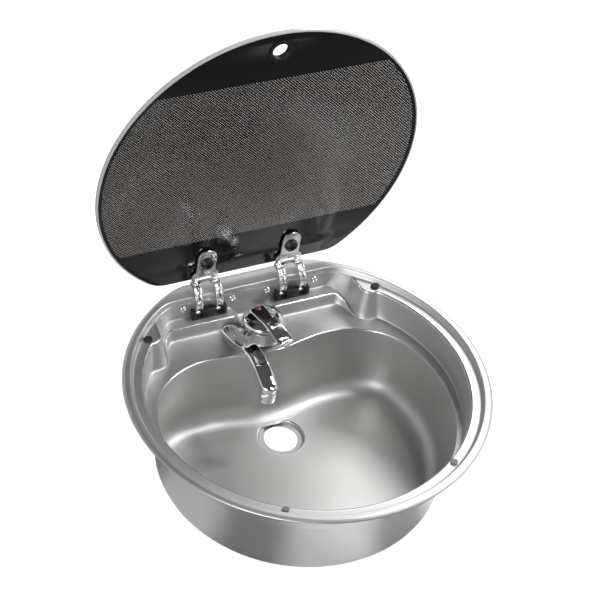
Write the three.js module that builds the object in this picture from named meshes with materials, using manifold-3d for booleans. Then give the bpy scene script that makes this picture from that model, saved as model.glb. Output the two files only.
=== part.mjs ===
// Round drop-in kitchen sink for a motor home: pressed stainless basin, glass lid on two
// goose-neck hinges, and a low single-lever mixer tap that fits under the closed lid.
// Units are millimetres, +Z is up, +Y is the hinge side, and z = 0 is the worktop surface.
import * as THREE from 'three';
import { mergeVertices } from 'three/addons/utils/BufferGeometryUtils.js';
import Module from 'manifold-3d';

const wasm = await Module();
wasm.setup();

// ---------------------------------------------------------------- driving dimensions
const gap = 0.3;                  // clearance between pieces that touch on the real sink
const runningGap = 0.6;           // clearance beside a piece that moves

// basin, depths measured down from the top of the rim
const sheet = 0.9;                // stainless sheet thickness
const rimRadius = 210;            // outer edge of the rim
const rimWidth = 9.7;             // from the rim's edge to the step
const rimRearCut = 16.5;          // the rear edge runs straight, this far inside the circle
const rimCorner = [11.6, 13.3];   // where the corner leaves the straight edge and the circle
const rimRise = 4;                // top of the rim above the worktop
const rimBevelWidth = 3.7;
const rimBevelDrop = 2;
const sealWidth = 2.6;
const sealInset = 1.5;
const stepSlope = 3;              // how far the step runs inwards on its way down
const stepCorner = [11, 24.8];
const fasciaSetback = 25.5;       // upright wall at the hinge side, from the rear edge
const fasciaLean = 0.8;           // it leans forward by this down to the shelves
const ledgeDepth = 7.4;           // ledge that carries the lid's bumpers
const ledgeWidth = 14;
const recessTurn = 49.5;          // degrees, where the hinge recess leaves its rear corner
const recessDrop = 5;             // degrees from there to the nose that ends the ledge
const recessBlend = 11;           // degrees from there to the plain circle
const recessLead = 18;            // rounding of the corner along the rear wall
const shelfDepth = 29;            // shelves in front of the fascia
const shelfWidth = 17;
const shelfGap = [15, 25];        // the gap between the shelves opens over this half width
const deckDepth = 44;             // tap deck and second ledge
const deckWallSlope = 3.3;        // from the ledge's edge to the foot of the wall
const deckBand = 14.3;            // from the ledge's edge to the bowl's edge
const bowlOffset = -9;            // the bowl's centre sits towards the front
const bowlTaper = 3;              // the bowl narrows by this on its way down
const floorDepth = 140;
const floorCurve = 25;            // radius between wall and floor
const drainBehind = 45;           // the drain sits behind the rim's centre
const drainRadius = 20;
const drainSeatRadius = 27;
const drainSeatDrop = 4.5;

// lid
const glassMargin = 4.8;          // between the glass and the step
const glassThickness = 5;
const glassSetback = 9;           // straight edge on the hinge side, in front of the fascia
const glassCornerRadius = 30;
const glassEdgeRound = 0.8;
const lidSeatHeight = 2.9;        // underside of the closed glass above the ledge
const lidOpening = 84.6;          // degrees, the lid stands open at rest
const fingerHoleRadius = 12.2;
const fingerHoleInset = 24.5;     // from the edge of the glass to the hole's centre
const fingerRingWall = 3.2;

// bumpers
const bumperInset = 5.7;          // from the step's foot
const rearBumper = { angle: 40.3, radius: 5 };
const frontBumper = { angle: -58.2, radius: 4 };
const bumperStem = 2;

// hinges
const hingeX = 54.2;              // centre of each hinge, left and right
const axisBehind = 13;            // hinge axis, behind the fascia
const axisDepth = 10.5;
const armInner = 18.2;            // curved arm, radii about the axis
const armPlate = 1.4;
const armRib = 1.2;               // raised edges of the arm
const armRibWidth = 1.8;
const armWidth = 8;
const armSpacing = 13;            // arm centre from the hinge centre
const armStart = 168;             // degrees, lid end with the lid closed
const armEnd = 300;
const armHubRadius = 5;
const slotTop = 2.8;              // top of the wall's slots, below the axis
const pinRadius = 2.5;
const tabWidth = 24;
const tabReach = 48;              // from the glass edge to the rounded end
const tabPlate = 2.2;
const tabScrewReach = 27.5;
const shoulderReach = 13;
const blockWidth = 44;
const blockDepth = 8.6;
const blockHeight = 11.6;
const blockFoot = 1.3;
const bracketWidth = 76;
const bracketPlate = 1.5;
const bracketDrop = 31.5;
const bracketTop = 3;
const cheekReach = 12;            // cheeks behind the plate, past the axis by the pin's wall
const rivetSpacing = 31.5;        // from the hinge centre
const rivetDepth = 14.5;
const rivetRadius = 1.9;
const rivetHead = 3.6;

// lid screws
const screwRadius = 2.5;
const screwHead = 7;
const screwHeadHeight = 3.6;
const bushRadius = 4.8;
const bushFlange = 8.6;
const bushFlangeThickness = 1;
const capRadius = 9;
const capHeight = 3;

// tap
const tapSetback = 42;            // tap centre in front of the fascia
const tapHole = 17;
const bodyFootRadius = 24.5;
const bodyTopRadius = 18.7;
const bodyTopDepth = 27;
const tapSealThickness = 1;
const cartridgeRadius = 14.6;
const cartridgeBottomDepth = 37;
const turretRadius = 10.4;
const pivotDepth = 26;            // lever's lift axis
const capNutRadius = 17.8;
const capNutDepth = 24.2;         // top of the nut, low enough for the lifted lever
const earHeight = 2.6;            // the turret's ears above the lift axis
const leverCapRadius = 23;
const leverSkirtDepth = 22;
const leverTopDepth = 12.2;
const leverLength = 47;
const leverTail = 17;
const leverTipDepth = 21.5;
const leverTipThickness = 3.6;
const leverHalfWidth = 9.6;
const leverRestTurn = 15;         // degrees to the right of straight ahead
const markRadius = 4.6;
const spoutHubX = -37;
const spoutHubBehind = 9.6;       // from the tap's centre
const spoutReach = 111;           // from the swivel to the outlet
const spoutCrown = [               // share of the way to the outlet, and depth of the top
  [0, 31.6], [0.126, 28.2], [0.252, 23.4], [0.36, 17.6], [0.468, 11.2], [0.559, 8.2], [0.649, 7.2],
  [0.757, 7.6], [0.847, 9.8], [0.937, 13.4], [1.009, 17],
];
const spoutHalfWidth = 9.8;
const spoutThickness = 5.2;
const spoutPostRadius = 8.4;
const spoutPostDepth = 37.5;      // top of the post that carries the hub
const spigotRadius = 5;
const spigotHeight = 4;
const bushWall = 1.8;
const outletDepth = 26;
const aeratorRadius = 9.6;
const aeratorHeight = 18;
const shankRadius = 15.5;
const shankBore = 11.5;
const shankLength = 42;
const washerRadius = 27;
const sealWasher = 2;
const steelWasher = 1.6;
const nutAcross = 44;
const nutHeight = 9;

// ---------------------------------------------------------------- levels and shared places
const rad = THREE.MathUtils.degToRad;
const at = (depth) => rimRise - depth;          // height of a depth below the rim's top
const rimRear = rimRadius - rimRearCut;
const stepRadius = rimRadius - rimWidth;
const fasciaRear = rimRear - fasciaSetback;
const ledgeInner = stepRadius - ledgeWidth;
const deckWallRadius = ledgeInner - deckWallSlope;
const bowlRadius = ledgeInner - deckBand;
const bowlFootRadius = bowlRadius - bowlTaper;
const drainY = drainBehind;
const glassRadius = stepRadius - glassMargin;
const glassChord = fasciaRear - glassSetback;
const fingerHoleY = fingerHoleInset - glassRadius;
const bumperPlace = stepRadius - stepSlope - bumperInset;
const axisY = fasciaRear + axisBehind;
const tapY = fasciaRear - tapSetback;
const spoutHub = [spoutHubX, tapY + spoutHubBehind];
const deckZ = at(deckDepth);
const axisZ = at(axisDepth);
const closedGlassZ = at(ledgeDepth) + lidSeatHeight;   // underside of the closed glass
const armOuter = armInner + armPlate + armRib;
const pinHole = pinRadius + 0.15;

// ---------------------------------------------------------------- helpers
const root = new THREE.Group();

function material(color, roughness, metalness) {
  return new THREE.MeshStandardMaterial({ color, roughness, metalness });
}
const satinSteel = material(0x9a9b9c, 0.32, 1);
const chrome = material(0xd8dadc, 0.06, 1);
const zincSteel = material(0xa8abae, 0.4, 1);
const blackGlass = material(0x2a2a2c, 0.05, 0);
const blackPlastic = material(0x17181a, 0.4, 0);
const blackRubber = material(0x1c1c1d, 0.8, 0);
const greyRubber = material(0x77797b, 0.6, 0);
const whitePlastic = material(0xe4e4e0, 0.4, 0);
const darkFoam = material(0x2b2b2c, 0.95, 0);
const markEnamel = material(0xa03a48, 0.3, 0);

function solid(geometry) {
  const bare = geometry.clone();
  bare.deleteAttribute('normal');
  bare.deleteAttribute('uv');
  const merged = mergeVertices(bare, 1e-4);
  const mesh = new wasm.Mesh({
    numProp: 3,
    vertProperties: new Float32Array(merged.attributes.position.array),
    triVerts: new Uint32Array(merged.index.array),
  });
  return new wasm.Manifold(mesh);
}

function geometryOf(body) {
  const mesh = body.simplify(0.02).getMesh();
  const geometry = new THREE.BufferGeometry();
  geometry.setAttribute('position', new THREE.BufferAttribute(mesh.vertProperties, 3));
  geometry.setIndex(new THREE.BufferAttribute(mesh.triVerts, 1));
  geometry.computeVertexNormals();
  return geometry;
}

function join(...geometries) {
  return geometryOf(geometries.map(solid).reduce((sum, next) => sum.add(next)));
}

function cut(geometry, ...tools) {
  return geometryOf(tools.map(solid).reduce((left, tool) => left.subtract(tool), solid(geometry)));
}

function place(name, geometry, look, parent = root) {
  const mesh = new THREE.Mesh(geometryOf(solid(geometry)), look);
  mesh.name = name;
  parent.add(mesh);
  return mesh;
}

// profile of [radius, z] pairs turned about the Z axis
function turned(profile, segments = 16, x = 0, y = 0) {
  const points = profile.map(([r, z]) => new THREE.Vector2(r, z));
  return new THREE.LatheGeometry(points, segments).rotateX(Math.PI / 2).translate(x, y, 0);
}

// a bored ring is a lathe whose profile closes on itself
function ring(inner, outer, low, high, segments = 20, x = 0, y = 0) {
  const profile = [[inner, low], [outer, low], [outer, high], [inner, high], [inner, low]];
  return turned(profile, segments, x, y);
}

function rod(radius, low, high, segments = 16, x = 0, y = 0) {
  return turned([[0, low], [radius, low], [radius, high], [0, high]], segments, x, y);
}

function slab(shape, low, high, curveSegments = 12) {
  const options = { depth: high - low, bevelEnabled: false, curveSegments };
  return new THREE.ExtrudeGeometry(shape, options).translate(0, 0, low);
}

function box(low, high) {
  const size = high.map((value, axis) => value - low[axis]);
  const middle = high.map((value, axis) => (value + low[axis]) / 2);
  return new THREE.BoxGeometry(...size).translate(...middle);
}

// a shape drawn in (y, z) and pushed along X
const alongX = new THREE.Matrix4().makeBasis(
  new THREE.Vector3(0, 1, 0),
  new THREE.Vector3(0, 0, 1),
  new THREE.Vector3(1, 0, 0),
);
function sideways(shape, low, high, curveSegments = 7) {
  return slab(shape, low, high, curveSegments).applyMatrix4(alongX);
}

const turnToY = new THREE.Matrix4().makeRotationX(Math.PI / 2);

// ---------------------------------------------------------------- outlines in plan
// Every basin outline has the same stations, so that neighbouring outlines can be skinned:
// the rear straight, the rear corner, the recess side, and the long arc to the front.
const rearStations = [0, 10, 15, 17.5, 20, 22.5, 25, 50, 76, 98];
const rearSpan = rearStations[rearStations.length - 1];
const cornerSteps = 4;
const sideSteps = 6;
const arcSteps = 12;
const arcStart = 41;              // degrees, where every outline joins its front arc

function bezier(a, b, c, t) {
  const mix = (p, q, s) => [p[0] + (q[0] - p[0]) * s, p[1] + (q[1] - p[1]) * s];
  return mix(mix(a, b, t), mix(b, c, t), t);
}

// points after the first one of a quadratic curve
function bend(a, b, c, steps) {
  return Array.from({ length: steps }, (_, i) => bezier(a, b, c, (i + 1) / steps));
}

function onCircle(radius, degrees, centreY = 0) {
  return [radius * Math.cos(rad(degrees)), centreY + radius * Math.sin(rad(degrees))];
}

// points after the first one of an arc
function arc(radius, from, to, steps, centreY = 0) {
  return Array.from({ length: steps }, (_, i) => onCircle(radius, from + (to - from) * ((i + 1) / steps), centreY));
}

// circle cut off by a straight rear edge, with rounded corners
function discHalf(radius, rear, [along, round]) {
  const meet = Math.sqrt(radius ** 2 - rear ** 2);
  const straight = meet - along;
  const turn = THREE.MathUtils.radToDeg(Math.asin(rear / radius) - round / radius);
  const end = onCircle(radius, turn);
  const knee = [end[0] + (end[1] - rear) * Math.tan(rad(turn)), rear];
  return [
    ...rearStations.map((x) => [x * (straight / rearSpan), rear]),
    ...bend([straight, rear], knee, end, cornerSteps),
    ...arc(radius, turn, arcStart, sideSteps),
    ...arc(radius, arcStart, -90, arcSteps),
  ];
}

// circle opened by the hinge recess: its rear wall and corner, its side, and the rounded
// nose where the ledge ends. The inset draws the recess in towards the foot of its wall.
function recessHalf(radius, rear, inset = 0) {
  const stepFoot = stepRadius - stepSlope;
  const straight = Math.sqrt(stepRadius ** 2 - fasciaRear ** 2) - stepCorner[0];
  const corner = onCircle(stepFoot - 1.3, recessTurn);
  const nose = onCircle(ledgeInner - 5, recessTurn - recessDrop);
  const start = [corner[0] - inset, corner[1] - inset * 0.5];
  const top = [nose[0] - inset, nose[1] + inset * 0.35];
  const tip = [nose[0] + 2.2 - inset * 1.35, nose[1] - recessBlend - inset * 1.2];
  const blend = recessTurn - recessBlend - inset * 0.25;
  const sideShare = [0.45, 1].map((t) => [start[0] + (top[0] - start[0]) * t, start[1] + (top[1] - start[1]) * t]);
  const knee = [start[0] - recessLead * 0.64 + inset * 0.25, rear];
  return [
    ...rearStations.map((x) => [x * (straight / rearSpan), rear]),
    ...bend([straight, rear], knee, start, cornerSteps),
    ...sideShare,
    ...bend(top, tip, onCircle(radius, blend), sideSteps - 2),
    ...arc(radius, blend, -90, arcSteps),
  ];
}

// the bowl bulges forward at the tap, then runs into its circle: distances from the
// basin's middle line, as shares of the bowl's radius, and in front of the tap
const deckEdge = [
  [0, 31], [0.116, 29.8], [0.262, 24.7], [0.395, 21.4], [0.523, 22], [0.634, 26.6], [0.738, 35.4], [0.831, 47.6],
];
const footEdge = [
  [0, 36], [0.116, 35], [0.262, 30.4], [0.395, 27.2], [0.523, 27.2], [0.634, 29.6], [0.738, 34.4], [0.831, 43.4],
];
const bowlJoin = 25;              // degrees, where the bulge runs into the circle
const bowlShares = [0.56, 0.64];  // of the bulge, at the ends of the rear and the corner

function bowlHalf(radius, centreY, edge, pull = 0) {
  const join = onCircle(radius, bowlJoin, centreY);
  const points = edge.map(([share, front]) => [share * bowlRadius, tapY - front - pull]).concat([join]);
  const curve = new THREE.SplineCurve(points.map(([x, y]) => new THREE.Vector2(x, y)));
  const [rearEnd, cornerEnd] = bowlShares;
  const shares = [
    ...rearStations.map((x) => rearEnd * (x / rearSpan)),
    ...Array.from({ length: cornerSteps }, (_, i) => rearEnd + (cornerEnd - rearEnd) * ((i + 1) / cornerSteps)),
    ...Array.from({ length: sideSteps }, (_, i) => cornerEnd + (1 - cornerEnd) * ((i + 1) / sideSteps)),
  ];
  return shares.map((share) => curve.getPointAt(share).toArray()).concat(arc(radius, bowlJoin, -90, arcSteps, centreY));
}

// the same kind of outline as one plain shape
function cutDisc(shape, radius, chord, corner) {
  const meet = Math.sqrt(radius ** 2 - chord ** 2);
  const straight = meet - corner * 0.5;
  const turn = Math.asin(chord / radius) - (corner * 0.5) / radius;
  shape.moveTo(straight, chord);
  shape.lineTo(-straight, chord);
  shape.quadraticCurveTo(-meet, chord, -radius * Math.cos(turn), radius * Math.sin(turn));
  shape.absarc(0, 0, radius, Math.PI - turn, 2 * Math.PI + turn, false);
  shape.quadraticCurveTo(meet, chord, straight, chord);
  return shape;
}

// ---------------------------------------------------------------- basin
const halfCount = rearStations.length + cornerSteps + sideSteps + arcSteps;
const { smoothstep, lerp } = THREE.MathUtils;

// how much a station belongs to a shelf rather than to the gap between the two
const shelfShare = (i) => smoothstep(rearStations[Math.min(i, rearStations.length - 1)], ...shelfGap);

// how much a station belongs to the band beside the recess rather than to its rear wall
const bandShare = (i) => smoothstep((i - rearStations.length + 1) / cornerSteps, 0.35, 1.7);

// a value for the shelves, for the gap between them and for the band round the bowl
function blend(i, shelf, between, band) {
  return lerp(lerp(between, shelf, shelfShare(i)), band, bandShare(i));
}

function level(half, depth) {
  const points = half.map(([x, y], i) => [x, y, at(typeof depth === 'function' ? depth(i) : depth)]);
  const left = points.slice(1, -1).reverse().map(([x, y, z]) => [-x, y, z]);
  return points.concat(left);
}

// Between the foot of the wall and the bowl's edge every station runs straight from one to
// the other. Each row, in front of a shelf: distance from the fascia in shelf widths, and
// how far down from the shelf to the deck; in the gap between the shelves: the same
// distance, and height above the deck; on the band: share of the way, and that height.
const deckRows = [
  [0.07, -0.093, 0.07, 3.2, 0.01, 1.8],
  [0.15, -0.007, 0.18, 0.8, 0.05, 0.4],
  [0.3, 0, 0.35, 0, 0.12, 0],
  [0.93, 0, 0.94, 0, 0.36, 0],
  [1.01, 0.04, 1.03, 0, 0.41, 0],
  [1.06, 0.2, 1.12, 0, 0.45, 0],
  [1.15, 0.8, 1.26, 0, 0.52, 0],
  [1.32, 0.998, 1.47, 0, 0.62, 0],
  [2.12, 1, 2.18, 0, 0.84, 0],
];

function deckRings() {
  const foot = recessHalf(deckWallRadius, fasciaRear - fasciaLean, 8.6);
  const edge = bowlHalf(bowlRadius, bowlOffset, deckEdge);
  return deckRows.map(([shelfRun, shelfDrop, gapRun, gapRise, bandRun, bandRise]) => {
    const half = foot.map(([x, y], i) => {
      const run = lerp(gapRun, shelfRun, shelfShare(i)) * shelfWidth;
      const share = lerp(run / (fasciaRear - edge[i][1]), bandRun, bandShare(i));
      return [lerp(x, edge[i][0], share), lerp(y, edge[i][1], share)];
    });
    const shelfLow = lerp(shelfDepth, deckDepth, shelfDrop);
    return level(half, (i) => blend(i, shelfLow, deckDepth - gapRise, deckDepth - bandRise));
  });
}

function floorRings() {
  const foot = level(bowlHalf(bowlFootRadius, 0, footEdge), 0);
  const rings = [];
  const steps = 3;
  const middle = [0, -20];
  for (let i = 1; i <= steps; i += 1) {
    const turn = (Math.PI / 2) * (i / steps);
    const inward = floorCurve * (1 - Math.cos(turn));
    const depth = floorDepth - floorCurve * (1 - Math.sin(turn));
    rings.push(foot.map(([x, y]) => {
      const reach = Math.hypot(x - middle[0], y - middle[1]);
      const keep = 1 - inward / reach;
      return [middle[0] + (x - middle[0]) * keep, middle[1] + (y - middle[1]) * keep, at(depth)];
    }));
  }
  return rings;
}

function drainRing(radius, depth) {
  const count = 2 * (halfCount - 1);
  return Array.from({ length: count }, (_, i) => {
    const [x, y] = onCircle(radius, 90 - (360 * i) / count, drainY);
    return [x, y, at(depth)];
  });
}

function basinRings() {
  const stepFoot = stepRadius - stepSlope;
  const bevelRadius = rimRadius - rimBevelWidth;
  const seatDepth = floorDepth + drainSeatDrop;
  const wall = (share) => lerp(ledgeInner, deckWallRadius, share);
  const wallDepth = (shelf, between, band) => (i) => blend(i, shelf * shelfDepth, between * deckDepth, band * deckDepth);
  return [
    level(discHalf(rimRadius, rimRear, rimCorner), rimBevelDrop + 0.6),
    level(discHalf(bevelRadius, rimRear - rimBevelWidth, rimCorner), 0),
    level(discHalf(stepRadius + 0.8, fasciaRear + 0.8, stepCorner), 0),
    level(discHalf(stepRadius, fasciaRear, stepCorner), 0.9),
    level(discHalf(stepFoot + 0.8, fasciaRear - 0.1, stepCorner), ledgeDepth - 0.9),
    level(discHalf(stepFoot - 0.4, fasciaRear - 0.15, stepCorner), ledgeDepth),
    level(recessHalf(ledgeInner + 1.8, fasciaRear - 0.25, -1.6), ledgeDepth),
    level(recessHalf(ledgeInner, fasciaRear - 0.35), ledgeDepth + 1.5),
    level(recessHalf(wall(0.7), fasciaRear - 0.6, 5.5), wallDepth(0.69, 0.64, 0.68)),
    level(recessHalf(wall(0.9), fasciaRear - 0.7, 7.4), wallDepth(0.88, 0.84, 0.89)),
    ...deckRings(),
    level(bowlHalf(bowlRadius + 1.6, bowlOffset, deckEdge, -1.6), deckDepth),
    level(bowlHalf(bowlRadius + 0.4, bowlOffset, deckEdge, -0.4), deckDepth + 0.6),
    level(bowlHalf(bowlRadius - 0.3, bowlOffset, deckEdge, 0.2), deckDepth + 2.4),
    level(bowlHalf(bowlFootRadius, 0, footEdge), floorDepth - floorCurve),
    ...floorRings(),
    drainRing(drainSeatRadius + 1.5, floorDepth),
    drainRing(drainSeatRadius - 0.5, floorDepth + 1.6),
    drainRing(drainSeatRadius - 1.5, seatDepth),
    drainRing(drainRadius, seatDepth),
  ];
}

// skin the outlines, then give the skin the sheet's thickness
function shell(rings, thickness) {
  const count = rings[0].length;
  const positions = rings.flat(2);
  const index = [];
  for (let r = 0; r < rings.length - 1; r += 1) {
    for (let i = 0; i < count; i += 1) {
      const next = (i + 1) % count;
      const a = r * count + i;
      const b = r * count + next;
      const c = (r + 1) * count + i;
      const d = (r + 1) * count + next;
      index.push(a, b, d, a, d, c);
    }
  }
  const top = new THREE.BufferGeometry();
  top.setAttribute('position', new THREE.Float32BufferAttribute(positions, 3));
  top.setIndex(index);
  top.computeVertexNormals();
  const normal = top.attributes.normal;
  const flip = Math.sign(normal.getZ(2 * count));
  const under = positions.slice();
  for (let v = 0; v < positions.length / 3; v += 1) {
    const way = new THREE.Vector3().fromBufferAttribute(normal, v);
    if (Math.hypot(way.x, way.y) < 0.22) {
      way.set(0, 0, flip);                        // level faces stay exactly level
    }
    way.multiplyScalar(-flip * thickness).toArray(normal.array, 3 * v);
    under[3 * v] += normal.getX(v);
    under[3 * v + 1] += normal.getY(v);
    under[3 * v + 2] += normal.getZ(v);
  }
  const offset = positions.length / 3;
  const all = [];
  for (let t = 0; t < index.length; t += 3) {
    const [a, b, c] = index.slice(t, t + 3);
    if (flip > 0) {
      all.push(a, b, c, offset + a, offset + c, offset + b);
    } else {
      all.push(a, c, b, offset + a, offset + b, offset + c);
    }
  }
  const closeEdge = (first, outward) => {
    for (let i = 0; i < count; i += 1) {
      const a = first + i;
      const b = first + ((i + 1) % count);
      if (outward) {
        all.push(a, offset + b, b, a, offset + a, offset + b);
      } else {
        all.push(a, b, offset + b, a, offset + b, offset + a);
      }
    }
  };
  closeEdge(0, flip > 0);
  closeEdge((rings.length - 1) * count, flip < 0);
  const geometry = new THREE.BufferGeometry();
  geometry.setAttribute('position', new THREE.Float32BufferAttribute(positions.concat(under), 3));
  geometry.setIndex(all);
  return geometry;
}

function onBothSides(make) {
  return [-1, 1].flatMap((side) => make(side));
}

function bumperSpots() {
  return onBothSides((side) => [['rear', rearBumper], ['front', frontBumper]].map(([end, kind]) => {
    const [x, y] = onCircle(bumperPlace, kind.angle);
    return { name: `bumper_${end}_${side < 0 ? 'left' : 'right'}`, x: side * x, y, kind, end };
  }));
}

function rivetSpots() {
  return onBothSides((side) => [-1, 1].map((end) => side * hingeX + end * rivetSpacing)).sort((a, b) => a - b);
}

function armSpots() {
  return onBothSides((side) => [-1, 1].map((end) => side * hingeX + end * armSpacing));
}

function makeBasin() {
  const body = shell(basinRings(), sheet);
  const holes = [rod(tapHole, deckZ - 5, deckZ + 5, 32, 0, tapY)];
  bumperSpots().forEach(({ x, y }) => {
    holes.push(rod(bumperStem + gap, at(ledgeDepth) - 3, at(ledgeDepth) + 3, 12, x, y));
  });
  rivetSpots().forEach((x) => {
    const hole = rod(rivetRadius + gap, -3, 3, 12).applyMatrix4(turnToY);
    holes.push(hole.translate(x, fasciaRear, at(rivetDepth)));
  });
  const slotHalf = armWidth / 2 + runningGap;
  const reach = fasciaRear - axisY;
  const slotFoot = axisZ - Math.sqrt(armOuter ** 2 - reach ** 2) - runningGap;
  armSpots().forEach((x) => {
    const low = [x - slotHalf, fasciaRear - 4, slotFoot];
    holes.push(box(low, [x + slotHalf, fasciaRear + 3, axisZ - slotTop]));
  });
  place('basin', cut(body, ...holes), satinSteel);
}

function makeRimSeal() {
  const outer = rimRadius - rimBevelWidth - sealInset;
  const rear = rimRear - rimBevelWidth - sealInset;
  const corner = 2 * rimCorner[1];
  const shape = cutDisc(new THREE.Shape(), outer, rear, corner);
  shape.holes.push(cutDisc(new THREE.Path(), outer - sealWidth, rear - sealWidth, corner));
  place('rim_seal', slab(shape, 0, rimRise - sheet - 2 * gap, 14), darkFoam);
}

function makeBumpers() {
  bumperSpots().forEach(({ name, x, y, kind, end }) => {
    const seat = at(ledgeDepth) + gap / 2;
    const top = closedGlassZ - gap;
    const under = at(ledgeDepth) - sheet - gap;
    const profile = [
      [0, under - 3], [bumperStem, under - 3], [bumperStem + 1, under - 1], [bumperStem + 1, under],
      [bumperStem, under], [bumperStem, seat], [kind.radius, seat], [kind.radius, top - 0.8],
      [kind.radius - 0.9, top], [0, top],
    ];
    place(name, turned(profile, 12, x, y), end === 'rear' ? blackRubber : greyRubber);
  });
}

// ---------------------------------------------------------------- hinges
function sideName(side) {
  return side < 0 ? 'left' : 'right';
}

function makeHingeBlock(side) {
  const shelfZ = at(shelfDepth);
  const rear = fasciaRear - fasciaLean - gap;
  const profile = new THREE.Shape();
  profile.moveTo(rear - blockDepth, shelfZ + gap);
  profile.lineTo(rear - 3.4, shelfZ + gap);
  profile.lineTo(rear, shelfZ + gap + 3.4);
  profile.lineTo(rear, shelfZ + gap + blockHeight);
  profile.lineTo(rear - blockDepth + 2, shelfZ + gap + blockHeight);
  profile.lineTo(rear - blockDepth, shelfZ + gap + blockHeight - 2);
  const centre = side * hingeX;
  const body = sideways(profile, centre - blockWidth / 2, centre + blockWidth / 2);
  const slotHalf = armWidth / 2 + runningGap;
  const slots = [-1, 1].map((end) => {
    const x = centre + end * armSpacing;
    const low = [x - slotHalf, rear - blockDepth - 5, shelfZ + gap + blockFoot];
    return box(low, [x + slotHalf, rear + 5, shelfZ + blockHeight + 5]);
  });
  place(`hinge_block_${sideName(side)}`, cut(body, ...slots), blackPlastic);
}

function makeHingeBracket(side) {
  const centre = side * hingeX;
  const front = fasciaRear + sheet + gap;
  const top = at(bracketTop);
  const low = at(bracketDrop);
  const plate = box([centre - bracketWidth / 2, front, low], [centre + bracketWidth / 2, front + bracketPlate, top]);
  const armSide = armSpacing + armWidth / 2 + runningGap;
  const pieces = [plate];
  [-1, 1].forEach((end) => {
    const cheek = new THREE.Shape();
    cheek.moveTo(front + bracketPlate - 0.5, axisZ - 9);
    cheek.lineTo(axisY + 2, axisZ - 6);
    cheek.absarc(axisY, axisZ, cheekReach / 2, -Math.PI / 2 + 0.4, Math.PI / 2 - 0.1, false);
    cheek.lineTo(front + bracketPlate - 0.5, axisZ + 7);
    const inner = centre + end * armSide;
    const outer = inner + end * 2;
    pieces.push(sideways(cheek, Math.min(inner, outer), Math.max(inner, outer)));
  });
  const tools = [-1, 1].map((end) => {
    const x = centre + end * armSpacing;
    const half = armWidth / 2 + runningGap;
    const windowLow = [x - half, front - 1, at(bracketDrop) + 1.9];
    return box(windowLow, [x + half, front + bracketPlate + 0.01, axisZ + 1]);
  });
  const pinBore = rod(pinHole, -40, 40, 16).rotateY(Math.PI / 2).translate(centre, axisY, axisZ);
  tools.push(pinBore);
  [-1, 1].forEach((end) => {
    const hole = rod(rivetRadius + gap, -3, 3, 12).applyMatrix4(turnToY);
    tools.push(hole.translate(centre + end * rivetSpacing, front, at(rivetDepth)));
  });
  place(`hinge_bracket_${sideName(side)}`, cut(join(...pieces), ...tools), zincSteel);
}

function makeHingePin(side) {
  const half = armSpacing + armWidth / 2 + runningGap + 3.4;
  const profile = [
    [0, -half - 1.6], [pinRadius + 1.4, -half - 1.6], [pinRadius + 1.4, -half],
    [pinRadius, -half], [pinRadius, half], [0, half],
  ];
  const pin = turned(profile, 16).rotateY(Math.PI / 2).translate(side * hingeX, axisY, axisZ);
  place(`hinge_pin_${sideName(side)}`, pin, zincSteel);
}

function makeRivets() {
  const front = fasciaRear - fasciaLean - gap;
  const back = fasciaRear + sheet + gap + bracketPlate + gap;
  rivetSpots().forEach((x, i) => {
    const profile = [
      [0, -1.3], [2.8, -1.3], [2.9, 0], [rivetRadius, 0], [rivetRadius, back - front],
      [rivetHead, back - front], [rivetHead - 0.8, back - front + 1.1], [0, back - front + 1.5],
    ];
    const rivet = turned(profile, 8).applyMatrix4(turnToY).translate(x, back, at(rivetDepth));
    place(`rivet_${i + 1}`, rivet, zincSteel);
  });
}

// arm profile in (y, z) about the hinge axis, drawn with the lid closed
function armSector(inner, outer, from, to) {
  const shape = new THREE.Shape();
  shape.absarc(0, 0, outer, rad(from), rad(to), false);
  shape.absarc(0, 0, inner, rad(to), rad(from), true);
  return shape;
}

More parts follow.
